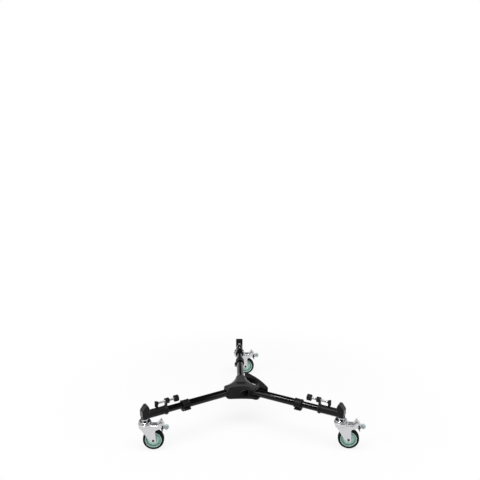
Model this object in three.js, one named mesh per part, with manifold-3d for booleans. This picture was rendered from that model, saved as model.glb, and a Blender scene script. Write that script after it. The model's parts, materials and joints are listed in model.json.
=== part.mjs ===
// A folding three-arm dolly for a camera tripod, in millimetres, +Z up.
// Three telescoping arms leave a cast hub at 90, 210 and 330 degrees. The left arm is fixed; the
// rear and right arms swing round it to fold. Each arm ends in a cup that clamps one tripod foot
// and stands on a swivelling, braked caster. The origin is the middle of the footprint, on the floor.

import * as THREE from 'three';
import { mergeVertices } from 'three/addons/utils/BufferGeometryUtils.js';
import Module from 'manifold-3d';

const wasm = await Module();
wasm.setup();

// Clearances and cutting
const gap = 0.3; // between pieces that touch
const runningGap = 0.4; // round what turns or slides
const overrun = 2; // how far a cutter reaches past the face that it opens
const sides = { tyre: 30, tube: 24, round: 18, pin: 12, arc: 8, bevel: 2 };
const turn = Math.PI * 2;

// Wheels
const wheelDia = 75;
const tyre = { depth: 7.8, width: 20, shoulder: 2.5 };
const core = { bossDia: 16, webWidth: 11, ringDia: 40, rimWall: 3, rimWidth: 18 };
const axle = { dia: 8, headDia: 9, headHeight: 1.4 };

// Caster fork, as places [behind the axle, above the axle] where it isn't round
const fork = {
  trail: 28.6, inside: 25, sheet: 2.5, cupDia: 49, cupFootDia: 40, cupDepth: 9, rimHeight: 5.5, dropWall: 2.6,
  leg: [
    [-43.7, 45.6], [-38, 37.3], [-33.5, 30.2], [-24.5, 16.6], [-13.3, -0.6], [-5.4, -6.3],
    [8, -6.8], [10.4, -4.5], [7.6, 34], [9, 39], [13, 41],
  ],
  horn: [[23, 44], [30.8, 49.6], [31.4, 65], [28, 68.2], [24, 67], [16.5, 57.5]],
  plateRise: 57.5,
};
const swivel = {
  shaftDia: 11.6, headDia: 18, headHeight: 3, raceDia: 44, raceHeight: 8.2, raceShoulder: 4, collarDia: 24,
  collarHeight: 8.1, pocketGap: 1.2,
};

// Brake, as places [behind, above] its pivot, which is placed [behind, above] the axle
const brake = {
  pinDia: 5, pivot: [27.4, 58.8], sheet: 2.2, width: 17, barrelWall: 1.6,
  tab: [[-13, 0.8], [-11.4, -0.9], [-1.9, 12.4], [10.2, -1.8], [10.6, -9], [12.8, -9], [12.4, -0.6], [-1, 16], [-3, 16]],
  shoe: [[0.8, -13.5], [3.6, -13.8], [12.2, -27], [10.6, -28.4]],
  stalk: [[-2.4, 0], [2.4, 0], [4.2, -15.6], [1, -15]],
  shoeWidth: 12, padDia: 18.5, padWidth: 11, padPlace: [21.4, -9.2], padWall: 2,
};

// Tubes and the clamp collar between them
const tube = { outerDia: 27.6, outerWall: 1.5, outerLength: 183, innerDia: 23.6, innerWall: 1.8, innerHidden: 165 };
const collar = { wall: 2.5, length: 29, overlap: 20, nubDia: 6, nubHeight: 2, slit: 2, earLength: 5, earDia: 8.4, earReach: 4.6 };
const lever = { length: 27, thickness: 5.4, lift: 1, wrapDeg: 68, startDeg: 24, pinDia: 4, barrelWall: 1.7, tipFlare: 2.4 };
const leverClockDeg = -30; // where the lever's pin lies, seen along the arm from the hub: below the left side

// Hub casting, base plate, carry handle and pivots
const hub = {
  reach: 67, ends: [3, 0, 4], halfWidth: 18.6, corner: 4, waist: 38.5, topThickness: 9, bevel: 4.5,
  skirtReach: 68, skirtHalfWidth: 19.4, skirtWaist: 40.5, reliefDia: 34, pivotReach: 46, sweepDeg: 115, sweepReach: 66,
};
const base = { thickness: 6, halfWidth: 19, beyondPivot: 19.5, ends: [7.5, 0, 14], waist: 43, corner: 8 };
const knuckle = { dia: 26, spigotLength: 24 };
const bolt = { dia: 8, headDia: 15, headHeight: 3.4, depth: 5 };
const handle = {
  outerReach: 83, shoulderDrop: 4, shoulderLateral: 50, tipDrop: 20, tipLateral: 87, tipSpread: 13, rootReach: 54, rootLateral: 58,
  innerReach: 34, height: 22.5, topDrop: 5, edge: 4.5, gripWidth: 12, windowStart: -13, windowLateral: 48, tubeGap: 1.5,
  footHeight: 4, footReach: 45.4, footLateral: 48.5, footWidth: 5, legDepth: 6, edgeShare: 0.23,
};
const handleDeg = 30;

// Leg cup that holds one tripod foot, and its screw
const cup = {
  barrelWall: 2.7, barrelLift: 1.2, length: 97.5, flangeDia: 34, flangeLength: 9, socketDepth: 66, stemSetback: 12.5, bossDia: 25,
  axisRise: 10.3, shaftDepth: 14,
};
const heel = { length: 27, width: 29, rise: 38.5, topLength: 9, shoulderRise: 22, shoulderBack: 1.5, innerTaper: 4, toeBack: 3, toeRise: 9 };
const post = { width: 12, length: 7.5, setback: 0, eyeDia: 20, eyeLength: 9 };
const screw = { rise: 34, dia: 8, length: 73, knobReach: 34.5 };
const knob = { dia: 23, length: 13, edge: 2 };
const nut = { dia: 20, length: 6, flats: 12 };
const pad = { width: 18, above: 6.5, below: 15.5, corner: 4, neckDia: 12, neckLength: 3, length: 7, edge: 1.2, socketDepth: 5 };

// How far each arm is drawn out
const drawn = { rear: 64.2, left: 57, right: 62.5 };

// Directions of the arms and of their casters at rest, in degrees from +X, and how far each brake is pressed
const arms = [
  { name: 'rear', angleDeg: 90, headingDeg: -1, sweepSign: 1, drawn: drawn.rear, brakeDeg: 0 },
  { name: 'left', angleDeg: 210, headingDeg: 1, sweepSign: 0, drawn: drawn.left, brakeDeg: 13 },
  { name: 'right', angleDeg: 331, headingDeg: -9, sweepSign: -1, drawn: drawn.right, brakeDeg: 0 },
];
const hubAngles = [90, 210, 330];

// Heights, from the floor up
const axleHeight = wheelDia / 2;
const plateTop = axleHeight + fork.plateRise;
const rimTop = plateTop + fork.rimHeight;
const cupBottom = plateTop - fork.cupDepth;
const raceBottom = rimTop + runningGap;
const collarBottom = raceBottom + swivel.raceHeight;
const bossBottom = collarBottom + swivel.collarHeight + gap;
const barrelRadius = tube.innerDia / 2 + gap + cup.barrelWall;
const axisHeight = bossBottom + cup.axisRise;
const barrelHeight = axisHeight + cup.barrelLift;
const slotHeight = tube.outerDia + runningGap * 2;
const slotBottom = axisHeight - slotHeight / 2;
const slotTop = axisHeight + slotHeight / 2;
const hubTop = slotTop + hub.topThickness;
const screwHeight = axisHeight + screw.rise;

// Distances along an arm: from the hub's axis, and then from the start of the cup
const outerStart = hub.pivotReach + knuckle.dia / 2 + gap;
const outerEnd = outerStart + tube.outerLength;
const collarStart = outerEnd - collar.overlap;
const collarEnd = collarStart + collar.length;
const stemAlong = cup.length - cup.stemSetback;
function cupStartOf(arm) {
  return collarEnd + arm.drawn;
}

// Solids from three.js geometry, and back
function solid(geometry) {
  const bare = geometry.index ? geometry.toNonIndexed() : geometry.clone();
  bare.deleteAttribute('normal');
  bare.deleteAttribute('uv');
  const merged = mergeVertices(bare);
  const mesh = new wasm.Mesh({
    numProp: 3,
    vertProperties: new Float32Array(merged.attributes.position.array),
    triVerts: new Uint32Array(merged.index.array),
  });
  return new wasm.Manifold(mesh);
}

function geometryOf(body) {
  const mesh = body.getMesh();
  const geometry = new THREE.BufferGeometry();
  geometry.setAttribute('position', new THREE.BufferAttribute(new Float32Array(mesh.vertProperties), 3));
  geometry.setIndex(new THREE.BufferAttribute(new Uint32Array(mesh.triVerts), 1));
  const flat = geometry.toNonIndexed();
  flat.computeVertexNormals();
  return flat;
}

function join(...geometries) {
  return geometryOf(geometries.map(solid).reduce((whole, next) => whole.add(next)));
}

function cut(geometry, ...tools) {
  return geometryOf(tools.map(solid).reduce((whole, next) => whole.subtract(next), solid(geometry)));
}

function volumeOf(geometry) {
  const points = (geometry.index ? geometry.toNonIndexed() : geometry).attributes.position;
  const [a, b, c] = [new THREE.Vector3(), new THREE.Vector3(), new THREE.Vector3()];
  let sum = 0;
  for (let i = 0; i < points.count; i += 3) {
    a.fromBufferAttribute(points, i);
    b.fromBufferAttribute(points, i + 1);
    c.fromBufferAttribute(points, i + 2);
    sum += a.dot(b.cross(c));
  }
  return sum;
}

// A profile of [radius, height] points turned round the Z axis
function turned(profile, count) {
  const points = profile.map(([radius, height]) => new THREE.Vector2(radius, height));
  const upright = new THREE.LatheGeometry(points, count).rotateX(Math.PI / 2);
  if (volumeOf(upright) > 0) return upright;
  const back = profile.slice().reverse().map(([radius, height]) => new THREE.Vector2(radius, height));
  return new THREE.LatheGeometry(back, count).rotateX(Math.PI / 2);
}

function rod(radius, from, to, count) {
  return turned([[0, from], [radius, from], [radius, to], [0, to]], count);
}

function pipe(outer, inner, from, to, count) {
  return turned([[inner, from], [outer, from], [outer, to], [inner, to], [inner, from]], count);
}

// The same, with the axis along +X or +Y instead
function alongX(geometry) {
  return geometry.rotateY(Math.PI / 2);
}

function alongY(geometry) {
  return geometry.rotateX(-Math.PI / 2);
}

function block(lowX, highX, lowY, highY, lowZ, highZ) {
  const box = new THREE.BoxGeometry(highX - lowX, highY - lowY, highZ - lowZ);
  return box.translate((lowX + highX) / 2, (lowY + highY) / 2, (lowZ + highZ) / 2);
}

function shapeOf(points) {
  return new THREE.Shape(points.map(([x, y]) => new THREE.Vector2(x, y)));
}

// An outline in X and Y, raised from one height to another
function raised(shape, from, to) {
  const depth = to - from;
  return new THREE.ExtrudeGeometry(shape, { depth, bevelEnabled: false, curveSegments: sides.arc }).translate(0, 0, from);
}

// A side view in X and Z, as wide as given on both sides of Y = 0
function sideways(shape, width) {
  return raised(shape, -width / 2, width / 2).rotateX(Math.PI / 2);
}

// An end view in Y and Z, drawn out along X
function endways(shape, from, to) {
  const turnAxes = new THREE.Matrix4().makeBasis(
    new THREE.Vector3(0, 1, 0), new THREE.Vector3(0, 0, 1), new THREE.Vector3(1, 0, 0),
  );
  return raised(shape, from, to).applyMatrix4(turnAxes);
}

// Loops of equally many points, one above another, skinned and capped
function lofted(loops) {
  const count = loops[0].length;
  const positions = [];
  const put = (...corners) => corners.forEach(corner => positions.push(corner.x, corner.y, corner.z));
  for (let level = 0; level + 1 < loops.length; level += 1) {
    for (let i = 0; i < count; i += 1) {
      const next = (i + 1) % count;
      const [low, high] = [loops[level], loops[level + 1]];
      put(low[i], low[next], high[next]);
      put(low[i], high[next], high[i]);
    }
  }
  const flat = loop => loop.map(point => new THREE.Vector2(point.x, point.y));
  const [first, last] = [loops[0], loops[loops.length - 1]];
  THREE.ShapeUtils.triangulateShape(flat(first), []).forEach(([a, b, c]) => put(first[a], first[c], first[b]));
  THREE.ShapeUtils.triangulateShape(flat(last), []).forEach(([a, b, c]) => put(last[a], last[b], last[c]));
  const geometry = new THREE.BufferGeometry();
  geometry.setAttribute('position', new THREE.Float32BufferAttribute(positions, 3));
  return geometry;
}

// The hub's three-pointed outline: ends with cut corners, each drawn out by its own length, and an arc
// from each end to the next
function starLoop(endReach, ends, halfWidth, waist, corner, height) {
  const between = turn / hubAngles.length / 2;
  const arcReach = endReach - corner;
  const cornerAlong = arcReach * Math.cos(between) + halfWidth * Math.sin(between);
  const halfChord = arcReach * Math.sin(between) - halfWidth * Math.cos(between);
  const sagitta = cornerAlong - waist;
  const radius = (halfChord ** 2 + sagitta ** 2) / (2 * sagitta);
  const centreAlong = waist + radius;
  const halfArc = Math.asin(halfChord / radius);
  const points = [];
  const put = (along, across, direction) => points.push(new THREE.Vector3(
    along * Math.cos(direction) - across * Math.sin(direction),
    along * Math.sin(direction) + across * Math.cos(direction),
    height,
  ));
  hubAngles.forEach((angleDeg, index) => {
    const end = THREE.MathUtils.degToRad(angleDeg);
    const reach = endReach + ends[index];
    if (ends[index] > 0) put(reach - corner, -halfWidth, end);
    put(reach, -halfWidth + corner, end);
    put(reach, halfWidth - corner, end);
    if (ends[index] > 0) put(reach - corner, halfWidth, end);
    for (let step = 0; step <= sides.arc; step += 1) {
      const swing = halfArc * (2 * step / sides.arc - 1);
      put(centreAlong - radius * Math.cos(swing), radius * Math.sin(swing), end + between);
    }
  });
  return points;
}

// Finishes, as colour, roughness and metalness
function finish(color, roughness, metalness) {
  return new THREE.MeshStandardMaterial({ color, roughness, metalness });
}
const castBlack = finish('#2b2b2c', 0.6, 0.2);
const tubeBlack = finish('#101011', 0.25, 0.3);
const plasticBlack = finish('#1a1a1b', 0.5, 0);
const steel = finish('#c3c4c6', 0.3, 1);
const zinc = finish('#d8d8db', 0.3, 1);
const rubber = finish('#121415', 0.8, 0);
const wheelGrey = finish('#93b3a9', 0.5, 0);
const pedalGrey = finish('#9fb0ae', 0.5, 0);

function part(name, geometry, material) {
  const mesh = new THREE.Mesh(geometry, material);
  mesh.name = name;
  return mesh;
}

// The room that an arm needs to swing in: in the arm's frame, round its pivot
function swingRoom(sign) {
  const half = tube.outerDia / 2 + runningGap;
  const far = hub.sweepReach;
  const end = THREE.MathUtils.degToRad(hub.sweepDeg) * sign;
  const pie = [[0, 0]];
  for (let step = 0; step <= sides.arc; step += 1) {
    const swing = end * (sign > 0 ? step : sides.arc - step) / sides.arc;
    pie.push([far * Math.cos(swing), far * Math.sin(swing)]);
  }
  const wedge = raised(shapeOf(pie), slotBottom - overrun, slotTop);
  const straight = block(0, far, -half, half, slotBottom - overrun, slotTop);
  const folded = alongX(rod(half, 0, far, sides.tube)).translate(0, 0, axisHeight).rotateZ(end);
  const eye = rod(half, slotBottom - overrun, slotTop, sides.tube);
  return join(wedge, straight, folded, eye).translate(hub.pivotReach, 0, 0);
}

// The fixed arm's socket, open below so that its root drops in
function fixedRoom() {
  const half = tube.outerDia / 2 + runningGap;
  const far = hub.pivotReach + hub.sweepReach;
  const arch = alongX(rod(half, hub.pivotReach, far, sides.tube)).translate(0, 0, axisHeight);
  const mouth = block(hub.pivotReach, far, -half, half, slotBottom - overrun, axisHeight);
  const eye = rod(half, slotBottom - overrun, slotTop, sides.tube).translate(hub.pivotReach, 0, 0);
  return join(arch, mouth, eye);
}

function hubTopGeometry() {
  const edge = hub.bevel;
  const body = lofted([
    starLoop(hub.skirtReach, hub.ends, hub.skirtHalfWidth, hub.skirtWaist, hub.corner, slotBottom),
    starLoop(hub.reach, hub.ends, hub.halfWidth, hub.waist, hub.corner, hubTop - edge),
    starLoop(hub.reach - edge / 2, hub.ends, hub.halfWidth - edge, hub.waist - edge, hub.corner, hubTop),
  ]);
  const cutters = arms.map(arm => {
    const room = arm.sweepSign === 0 ? fixedRoom() : swingRoom(arm.sweepSign);
    return room.rotateZ(THREE.MathUtils.degToRad(arm.angleDeg));
  });
  const boltHoles = arms.map(arm => {
    const hole = rod(bolt.dia / 2 + gap, slotTop - overrun, slotTop + bolt.depth + gap, sides.pin);
    return hole.translate(hub.pivotReach, 0, 0).rotateZ(THREE.MathUtils.degToRad(arm.angleDeg));
  });
  const relief = rod(hub.reliefDia / 2, slotBottom - overrun, slotTop, sides.round);
  return cut(body, ...cutters, ...boltHoles, relief, ...feet(gap));
}

function hubBaseGeometry() {
  const high = slotBottom - gap;
  const low = high - base.thickness;
  const plate = lofted([
    starLoop(hub.pivotReach + base.beyondPivot, base.ends, base.halfWidth, base.waist, base.corner, low),
    starLoop(hub.pivotReach + base.beyondPivot, base.ends, base.halfWidth, base.waist, base.corner, high),
  ]);
  const holes = arms.map(arm => {
    const hole = rod(bolt.dia / 2 + gap, low - overrun, high + overrun, sides.pin);
    return hole.translate(hub.pivotReach, 0, 0).rotateZ(THREE.MathUtils.degToRad(arm.angleDeg));
  });
  return cut(plate, ...holes);
}

// The carry handle's plan, with its reach from the hub along X
function handleOutline() {
  const { rootReach, rootLateral, tipLateral, shoulderLateral, outerReach } = handle;
  const tipReach = outerReach - handle.tipDrop;
  const shoulderReach = outerReach - handle.shoulderDrop;
  const shape = new THREE.Shape();
  shape.moveTo(handle.innerReach, -rootLateral / 2);
  shape.lineTo(rootReach, -rootLateral);
  shape.bezierCurveTo(tipReach, -tipLateral, tipReach + handle.tipSpread, -tipLateral, shoulderReach, -shoulderLateral);
  shape.quadraticCurveTo(outerReach, -shoulderLateral / 2, outerReach, 0);
  shape.quadraticCurveTo(outerReach, shoulderLateral / 2, shoulderReach, shoulderLateral);
  shape.bezierCurveTo(tipReach + handle.tipSpread, tipLateral, tipReach, tipLateral, rootReach, rootLateral);
  shape.lineTo(handle.innerReach, rootLateral / 2);
  shape.closePath();
  return shape;
}

function fingerWindow() {
  const shape = new THREE.Shape();
  const windowEnd = handle.outerReach - handle.gripWidth;
  const windowReach = (windowEnd - handle.windowStart) / 2;
  shape.absellipse(windowEnd - windowReach, 0, windowReach, handle.windowLateral, 0, turn, false);
  return new THREE.Shape(shape.getPoints(sides.round));
}

// The handle's two feet, which lie in notches of the hub's rim and are held there by the base plate
function feet(clearance) {
  const middle = THREE.MathUtils.degToRad(handleDeg);
  const top = slotBottom + handle.footHeight + clearance;
  return [-1, 1].map(side => {
    const near = side * (handle.footLateral - handle.footWidth / 2 - clearance);
    const far = side * (handle.footLateral + handle.footWidth / 2 + clearance);
    const [inner, outer] = [handle.footReach - clearance, handle.rootReach + handle.legDepth];
    const bottom = clearance > 0 ? slotBottom - overrun : slotBottom;
    return block(inner, outer, Math.min(near, far), Math.max(near, far), bottom, top).rotateZ(middle);
  });
}

function handleGeometry() {
  const high = hubTop - handle.topDrop;
  const low = high - handle.height;
  const middle = THREE.MathUtils.degToRad(handleDeg);
  const endWall = handle.outerReach - handle.shoulderDrop - handle.rootReach - handle.footWidth;
  const edge = Math.min(handle.edge, endWall * handle.edgeShare);
  const grip = new THREE.ExtrudeGeometry(handleOutline(), {
    depth: handle.height - edge * 2, bevelThickness: edge, bevelSize: edge, bevelOffset: -edge,
    bevelSegments: sides.bevel, curveSegments: sides.arc,
  }).translate(0, 0, low + edge);
  const window = raised(fingerWindow(), low - overrun, high + overrun);
  const around = height => starLoop(
    hub.skirtReach + gap, hub.ends, hub.skirtHalfWidth + gap, hub.skirtWaist + gap, hub.corner, height,
  );
  const hubRoom = lofted([around(slotBottom - overrun), around(high + overrun)]);
  const tubeRooms = [arms[0], arms[2]].map(arm => {
    const room = alongX(rod(tube.outerDia / 2 + handle.tubeGap, hub.pivotReach, outerEnd, sides.tube));
    return room.translate(0, 0, axisHeight).rotateZ(THREE.MathUtils.degToRad(arm.angleDeg));
  });
  const legs = [-1, 1].map(side => {
    const root = side * handle.footLateral;
    const half = handle.footWidth / 2;
    const leg = block(handle.footReach, handle.rootReach + handle.legDepth, root - half, root + half, slotBottom, low + edge * 2);
    return leg.rotateZ(middle);
  });
  const bar = cut(join(grip.rotateZ(middle), ...legs), window.rotateZ(middle), hubRoom);
  return cut(join(bar, ...feet(0)), ...tubeRooms);
}

function boltGeometry() {
  const shank = rod(bolt.dia / 2, slotBottom - base.thickness - gap * 2 - bolt.headHeight / 2, slotTop + bolt.depth, sides.pin);
  const seat = slotBottom - base.thickness - gap * 2;
  return join(shank, rod(bolt.headDia / 2, seat - bolt.headHeight, seat, sides.round));
}

function knuckleGeometry() {
  const half = slotHeight / 2 - gap;
  const eye = rod(knuckle.dia / 2, axisHeight - half, axisHeight + half, sides.tube).translate(hub.pivotReach, 0, 0);
  const spigotRadius = tube.outerDia / 2 - tube.outerWall - gap;
  const spigotEnd = outerStart + knuckle.spigotLength;
  const spigot = alongX(rod(spigotRadius, hub.pivotReach, spigotEnd, sides.tube)).translate(0, 0, axisHeight);
  const bore = rod(bolt.dia / 2 + runningGap, slotBottom - overrun, slotTop + overrun, sides.pin).translate(hub.pivotReach, 0, 0);
  return cut(join(eye, spigot), bore);
}

function outerTubeGeometry() {
  const radius = tube.outerDia / 2;
  return alongX(pipe(radius, radius - tube.outerWall, outerStart, outerEnd, sides.tube)).translate(0, 0, axisHeight);
}

function innerTubeGeometry() {
  const radius = tube.innerDia / 2;
  return alongX(pipe(radius, radius - tube.innerWall, -tube.innerHidden, cup.socketDepth - gap, sides.tube)).translate(0, 0, axisHeight);
}

// The lever's pin, as a place in the arm's cross-section round the tube's axis
const collarRadius = tube.outerDia / 2 + gap + collar.wall;
const leverPinReach = collarRadius + collar.earReach;
const leverAngle = THREE.MathUtils.degToRad(leverClockDeg);
const leverMiddle = collarStart + collar.length / 2;

function aboutLeverPin(geometry) {
  return geometry.translate(0, leverPinReach * Math.cos(leverAngle), axisHeight + leverPinReach * Math.sin(leverAngle));
}

function collarGeometry() {
  const outer = alongX(rod(collarRadius, collarStart, collarEnd, sides.tube)).translate(0, 0, axisHeight);
  const outerSeat = alongX(rod(tube.outerDia / 2 + gap, collarStart - overrun, outerEnd + gap, sides.tube));
  const innerSeat = alongX(rod(tube.innerDia / 2 + runningGap, outerEnd, collarEnd + overrun, sides.tube));
  const nub = rod(collar.nubDia / 2, axisHeight, axisHeight + collarRadius + collar.nubHeight, sides.pin).translate(leverMiddle, 0, 0);
  const earInset = (lever.length - collar.earLength) / 2;
  const ears = [-earInset, earInset].map(offset => {
    const from = leverMiddle + offset - collar.earLength / 2;
    const to = from + collar.earLength;
    const half = collar.earDia / 2;
    const eye = alongX(rod(half, from, to, sides.pin)).translate(0, leverPinReach, 0);
    const web = block(from, to, collarRadius - collar.wall / 2, leverPinReach, -half, half);
    return join(eye, web).rotateX(leverAngle).translate(0, 0, axisHeight);
  });
  const pinHole = aboutLeverPin(alongX(rod(lever.pinDia / 2 + gap, collarStart, collarEnd, sides.pin)));
  const slit = block(outerEnd + overrun, collarEnd + overrun, 0, collarRadius + overrun, -collar.slit / 2, collar.slit / 2);
  const slitTurned = slit.rotateX(leverAngle).translate(0, 0, axisHeight);
  const seats = [outerSeat, innerSeat].map(seat => seat.translate(0, 0, axisHeight));
  return cut(join(outer, nub, ...ears), ...seats, pinHole, slitTurned);
}

function leverPinGeometry() {
  return aboutLeverPin(alongX(rod(lever.pinDia / 2, leverMiddle - lever.length / 2, leverMiddle + lever.length / 2, sides.pin)));
}

// A curved handle that hugs the collar from below, with a barrel on the pin
function leverGeometry() {
  const near = collarRadius + lever.lift;
  const far = near + lever.thickness;
  const from = leverAngle - THREE.MathUtils.degToRad(lever.startDeg);
  const to = from - THREE.MathUtils.degToRad(lever.wrapDeg);
  const outline = [];
  for (let step = 0; step <= sides.arc; step += 1) {
    const angle = from + (to - from) * step / sides.arc;
    const flare = lever.tipFlare * (step / sides.arc) ** 4;
    outline.push([(near + flare) * Math.cos(angle), (near + flare) * Math.sin(angle)]);
  }
  for (let step = sides.arc; step >= 0; step -= 1) {
    const angle = from + (to - from) * step / sides.arc;
    const flare = lever.tipFlare * (step / sides.arc) ** 4;
    outline.push([(far + flare) * Math.cos(angle), (far + flare) * Math.sin(angle)]);
  }
  const half = lever.length / 2;
  const plate = endways(shapeOf(outline.reverse()), leverMiddle - half, leverMiddle + half).translate(0, 0, axisHeight);
  const barrelHalf = half - collar.earLength - gap;
  const barrelRadius = lever.pinDia / 2 + gap + lever.barrelWall;
  const barrel = aboutLeverPin(alongX(rod(barrelRadius, leverMiddle - barrelHalf, leverMiddle + barrelHalf, sides.pin)));
  const pinY = leverPinReach * Math.cos(leverAngle);
  const pinZ = leverPinReach * Math.sin(leverAngle);
  const middleRadius = near + lever.thickness / 2;
  const inward = from - THREE.MathUtils.degToRad(lever.startDeg / 2);
  const web = shapeOf([
    [pinY, pinZ],
    [near * Math.cos(inward), near * Math.sin(inward)],
    [middleRadius * Math.cos(inward), middleRadius * Math.sin(inward)],
    [pinY + barrelRadius * Math.cos(leverAngle), pinZ + barrelRadius * Math.sin(leverAngle)],
  ].reverse());
  const bridge = endways(web, leverMiddle - barrelHalf, leverMiddle + barrelHalf).translate(0, 0, axisHeight);
  const bore = aboutLeverPin(alongX(rod(lever.pinDia / 2 + gap, leverMiddle - half, leverMiddle + half, sides.pin)));
  return cut(join(plate, barrel, bridge), bore);
}

// The cup: barrel, flange, screw post, heel and caster boss, in one casting, with its start at X = 0
function heelShape() {
  const start = cup.length - heel.length;
  const top = axisHeight + heel.rise;
  const shoulder = axisHeight + heel.shoulderRise;
  return shapeOf([
    [start, axisHeight],
    [stemAlong, bossBottom],
    [cup.length - heel.toeBack, bossBottom],
    [cup.length, bossBottom + heel.toeRise],
    [cup.length, shoulder - heel.shoulderBack],
    [cup.length - heel.shoulderBack, shoulder],
    [start + heel.innerTaper + heel.topLength, top],
    [start + heel.innerTaper, top],
    [start, top - heel.shoulderRise / 2],
  ]);
}

function legCupGeometry() {
  const barrelEnd = cup.length - heel.shoulderBack;
  const barrel = alongX(rod(barrelRadius, 0, barrelEnd, sides.tube)).translate(0, 0, barrelHeight);
  const flange = alongX(rod(cup.flangeDia / 2, 0, cup.flangeLength, sides.tube)).translate(0, 0, axisHeight);
  const heelBlock = sideways(heelShape(), heel.width);
  const boss = rod(cup.bossDia / 2, bossBottom, axisHeight, sides.tube).translate(stemAlong, 0, 0);
  const postEnd = post.setback + post.length;
  const neck = block(post.setback, postEnd, -post.width / 2, post.width / 2, axisHeight, screwHeight);
  const eye = alongX(rod(post.eyeDia / 2, postEnd - post.eyeLength, postEnd, sides.round)).translate(0, 0, screwHeight);
  const pocketRadius = swivel.collarDia / 2 + swivel.pocketGap;
  const pocket = rod(pocketRadius, bossBottom - barrelRadius, bossBottom, sides.tube).translate(stemAlong, 0, 0);
  const socket = alongX(rod(tube.innerDia / 2 + gap, -overrun, cup.socketDepth, sides.tube)).translate(0, 0, axisHeight);
  const screwHole = alongX(rod(screw.dia / 2 + runningGap, -post.eyeLength, postEnd + overrun, sides.pin));
  const shaftHole = rod(swivel.shaftDia / 2 + gap, bossBottom - overrun, bossBottom + cup.shaftDepth + gap, sides.round);
  const solidCup = join(barrel, flange, heelBlock, boss, neck, eye);
  return cut(solidCup, socket, pocket, screwHole.translate(0, 0, screwHeight), shaftHole.translate(stemAlong, 0, 0));
}

// The screw's pieces lie along the arm, above its axis
const eyeFace = post.setback + post.length - post.eyeLength;
const nutEnd = eyeFace - gap;
const nutStart = nutEnd - nut.length;
const screwStart = -screw.knobReach;
const screwEnd = screwStart + screw.length;
const padStart = screwEnd - pad.socketDepth + gap;

function aboveAxis(geometry) {
  return geometry.translate(0, 0, screwHeight);
}

function clampScrewGeometry() {
  return aboveAxis(alongX(rod(screw.dia / 2, screwStart + gap, screwEnd, sides.pin)));
}

function knobGeometry() {
  const edge = knob.edge;
  const radius = knob.dia / 2;
  const from = screwStart - knob.length / 2;
  const to = from + knob.length;
  const body = turned([
    [0, from], [radius - edge, from], [radius, from + edge], [radius, to - edge], [radius - edge, to], [0, to],
  ], sides.round);
  const bore = rod(screw.dia / 2 + gap, screwStart, to + overrun, sides.pin);
  return aboveAxis(alongX(cut(body, bore)));
}

function lockNutGeometry() {
  return aboveAxis(alongX(pipe(nut.dia / 2, screw.dia / 2 + runningGap, nutStart, nutEnd, nut.flats)));
}

// A rounded block that presses the foot, hung below the screw, with a round neck for its socket
function padGeometry() {
  const { corner, edge } = pad;
  const [side, top, bottom] = [pad.width / 2, pad.above, -pad.below];
  const outline = inset => shapeOf([
    [corner - side, bottom + inset], [side - corner, bottom + inset], [side - inset, bottom + corner], [side - inset, top - corner],
    [side - corner, top - inset], [corner - side, top - inset], [inset - side, top - corner], [inset - side, bottom + corner],
  ]);
  const from = padStart + pad.neckLength;
  const loop = (inset, along) => outline(inset).getPoints().map(point => new THREE.Vector3(point.x, point.y, along));
  const block = lofted([loop(edge, from), loop(0, from + edge), loop(0, from + pad.length - edge), loop(edge, from + pad.length)]);
  const upright = new THREE.Matrix4().makeBasis(
    new THREE.Vector3(0, 1, 0), new THREE.Vector3(0, 0, 1), new THREE.Vector3(1, 0, 0),
  );
  const neck = alongX(rod(pad.neckDia / 2, padStart, from + edge, sides.round));
  const socket = alongX(rod(screw.dia / 2 + runningGap, padStart - overrun, screwEnd + gap, sides.pin));
  return aboveAxis(cut(join(block.applyMatrix4(upright), neck), socket));
}

// The caster, in its own frame: the swivel axis is Z, and the wheel trails along +X. The brake's pieces
// are drawn released, and a caster's own group turns them about their pin
const forkHalf = fork.inside / 2 + fork.sheet;
const axleX = fork.trail;
const fromAxle = ([x, z]) => [axleX + x, axleHeight + z];
const pivotPlace = fromAxle(brake.pivot);
const fromPivot = ([x, z]) => [pivotPlace[0] + x, pivotPlace[1] + z];

function stemGeometry() {
  const shoulder = swivel.raceShoulder;
  return turned([
    [0, cupBottom - gap - swivel.headHeight],
    [swivel.headDia / 2, cupBottom - gap - swivel.headHeight],
    [swivel.headDia / 2, cupBottom - gap],
    [swivel.shaftDia / 2, cupBottom - gap],
    [swivel.shaftDia / 2, raceBottom],
    [swivel.raceDia / 2, raceBottom],
    [swivel.raceDia / 2, collarBottom - shoulder],
    [swivel.raceDia / 2 - shoulder, collarBottom],
    [swivel.collarDia / 2, collarBottom],
    [swivel.collarDia / 2, bossBottom - gap],
    [swivel.shaftDia / 2, bossBottom - gap],
    [swivel.shaftDia / 2, bossBottom + cup.shaftDepth],
    [0, bossBottom + cup.shaftDepth],
  ], sides.tube);
}

// One cheek of the fork, as a side view
function cheekShape() {
  const cupFront = -fork.cupFootDia / 2;
  return shapeOf([
    [cupFront, plateTop], [cupFront, cupBottom], ...fork.leg.map(fromAxle), ...fork.horn.map(fromAxle),
  ]);
}

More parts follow.
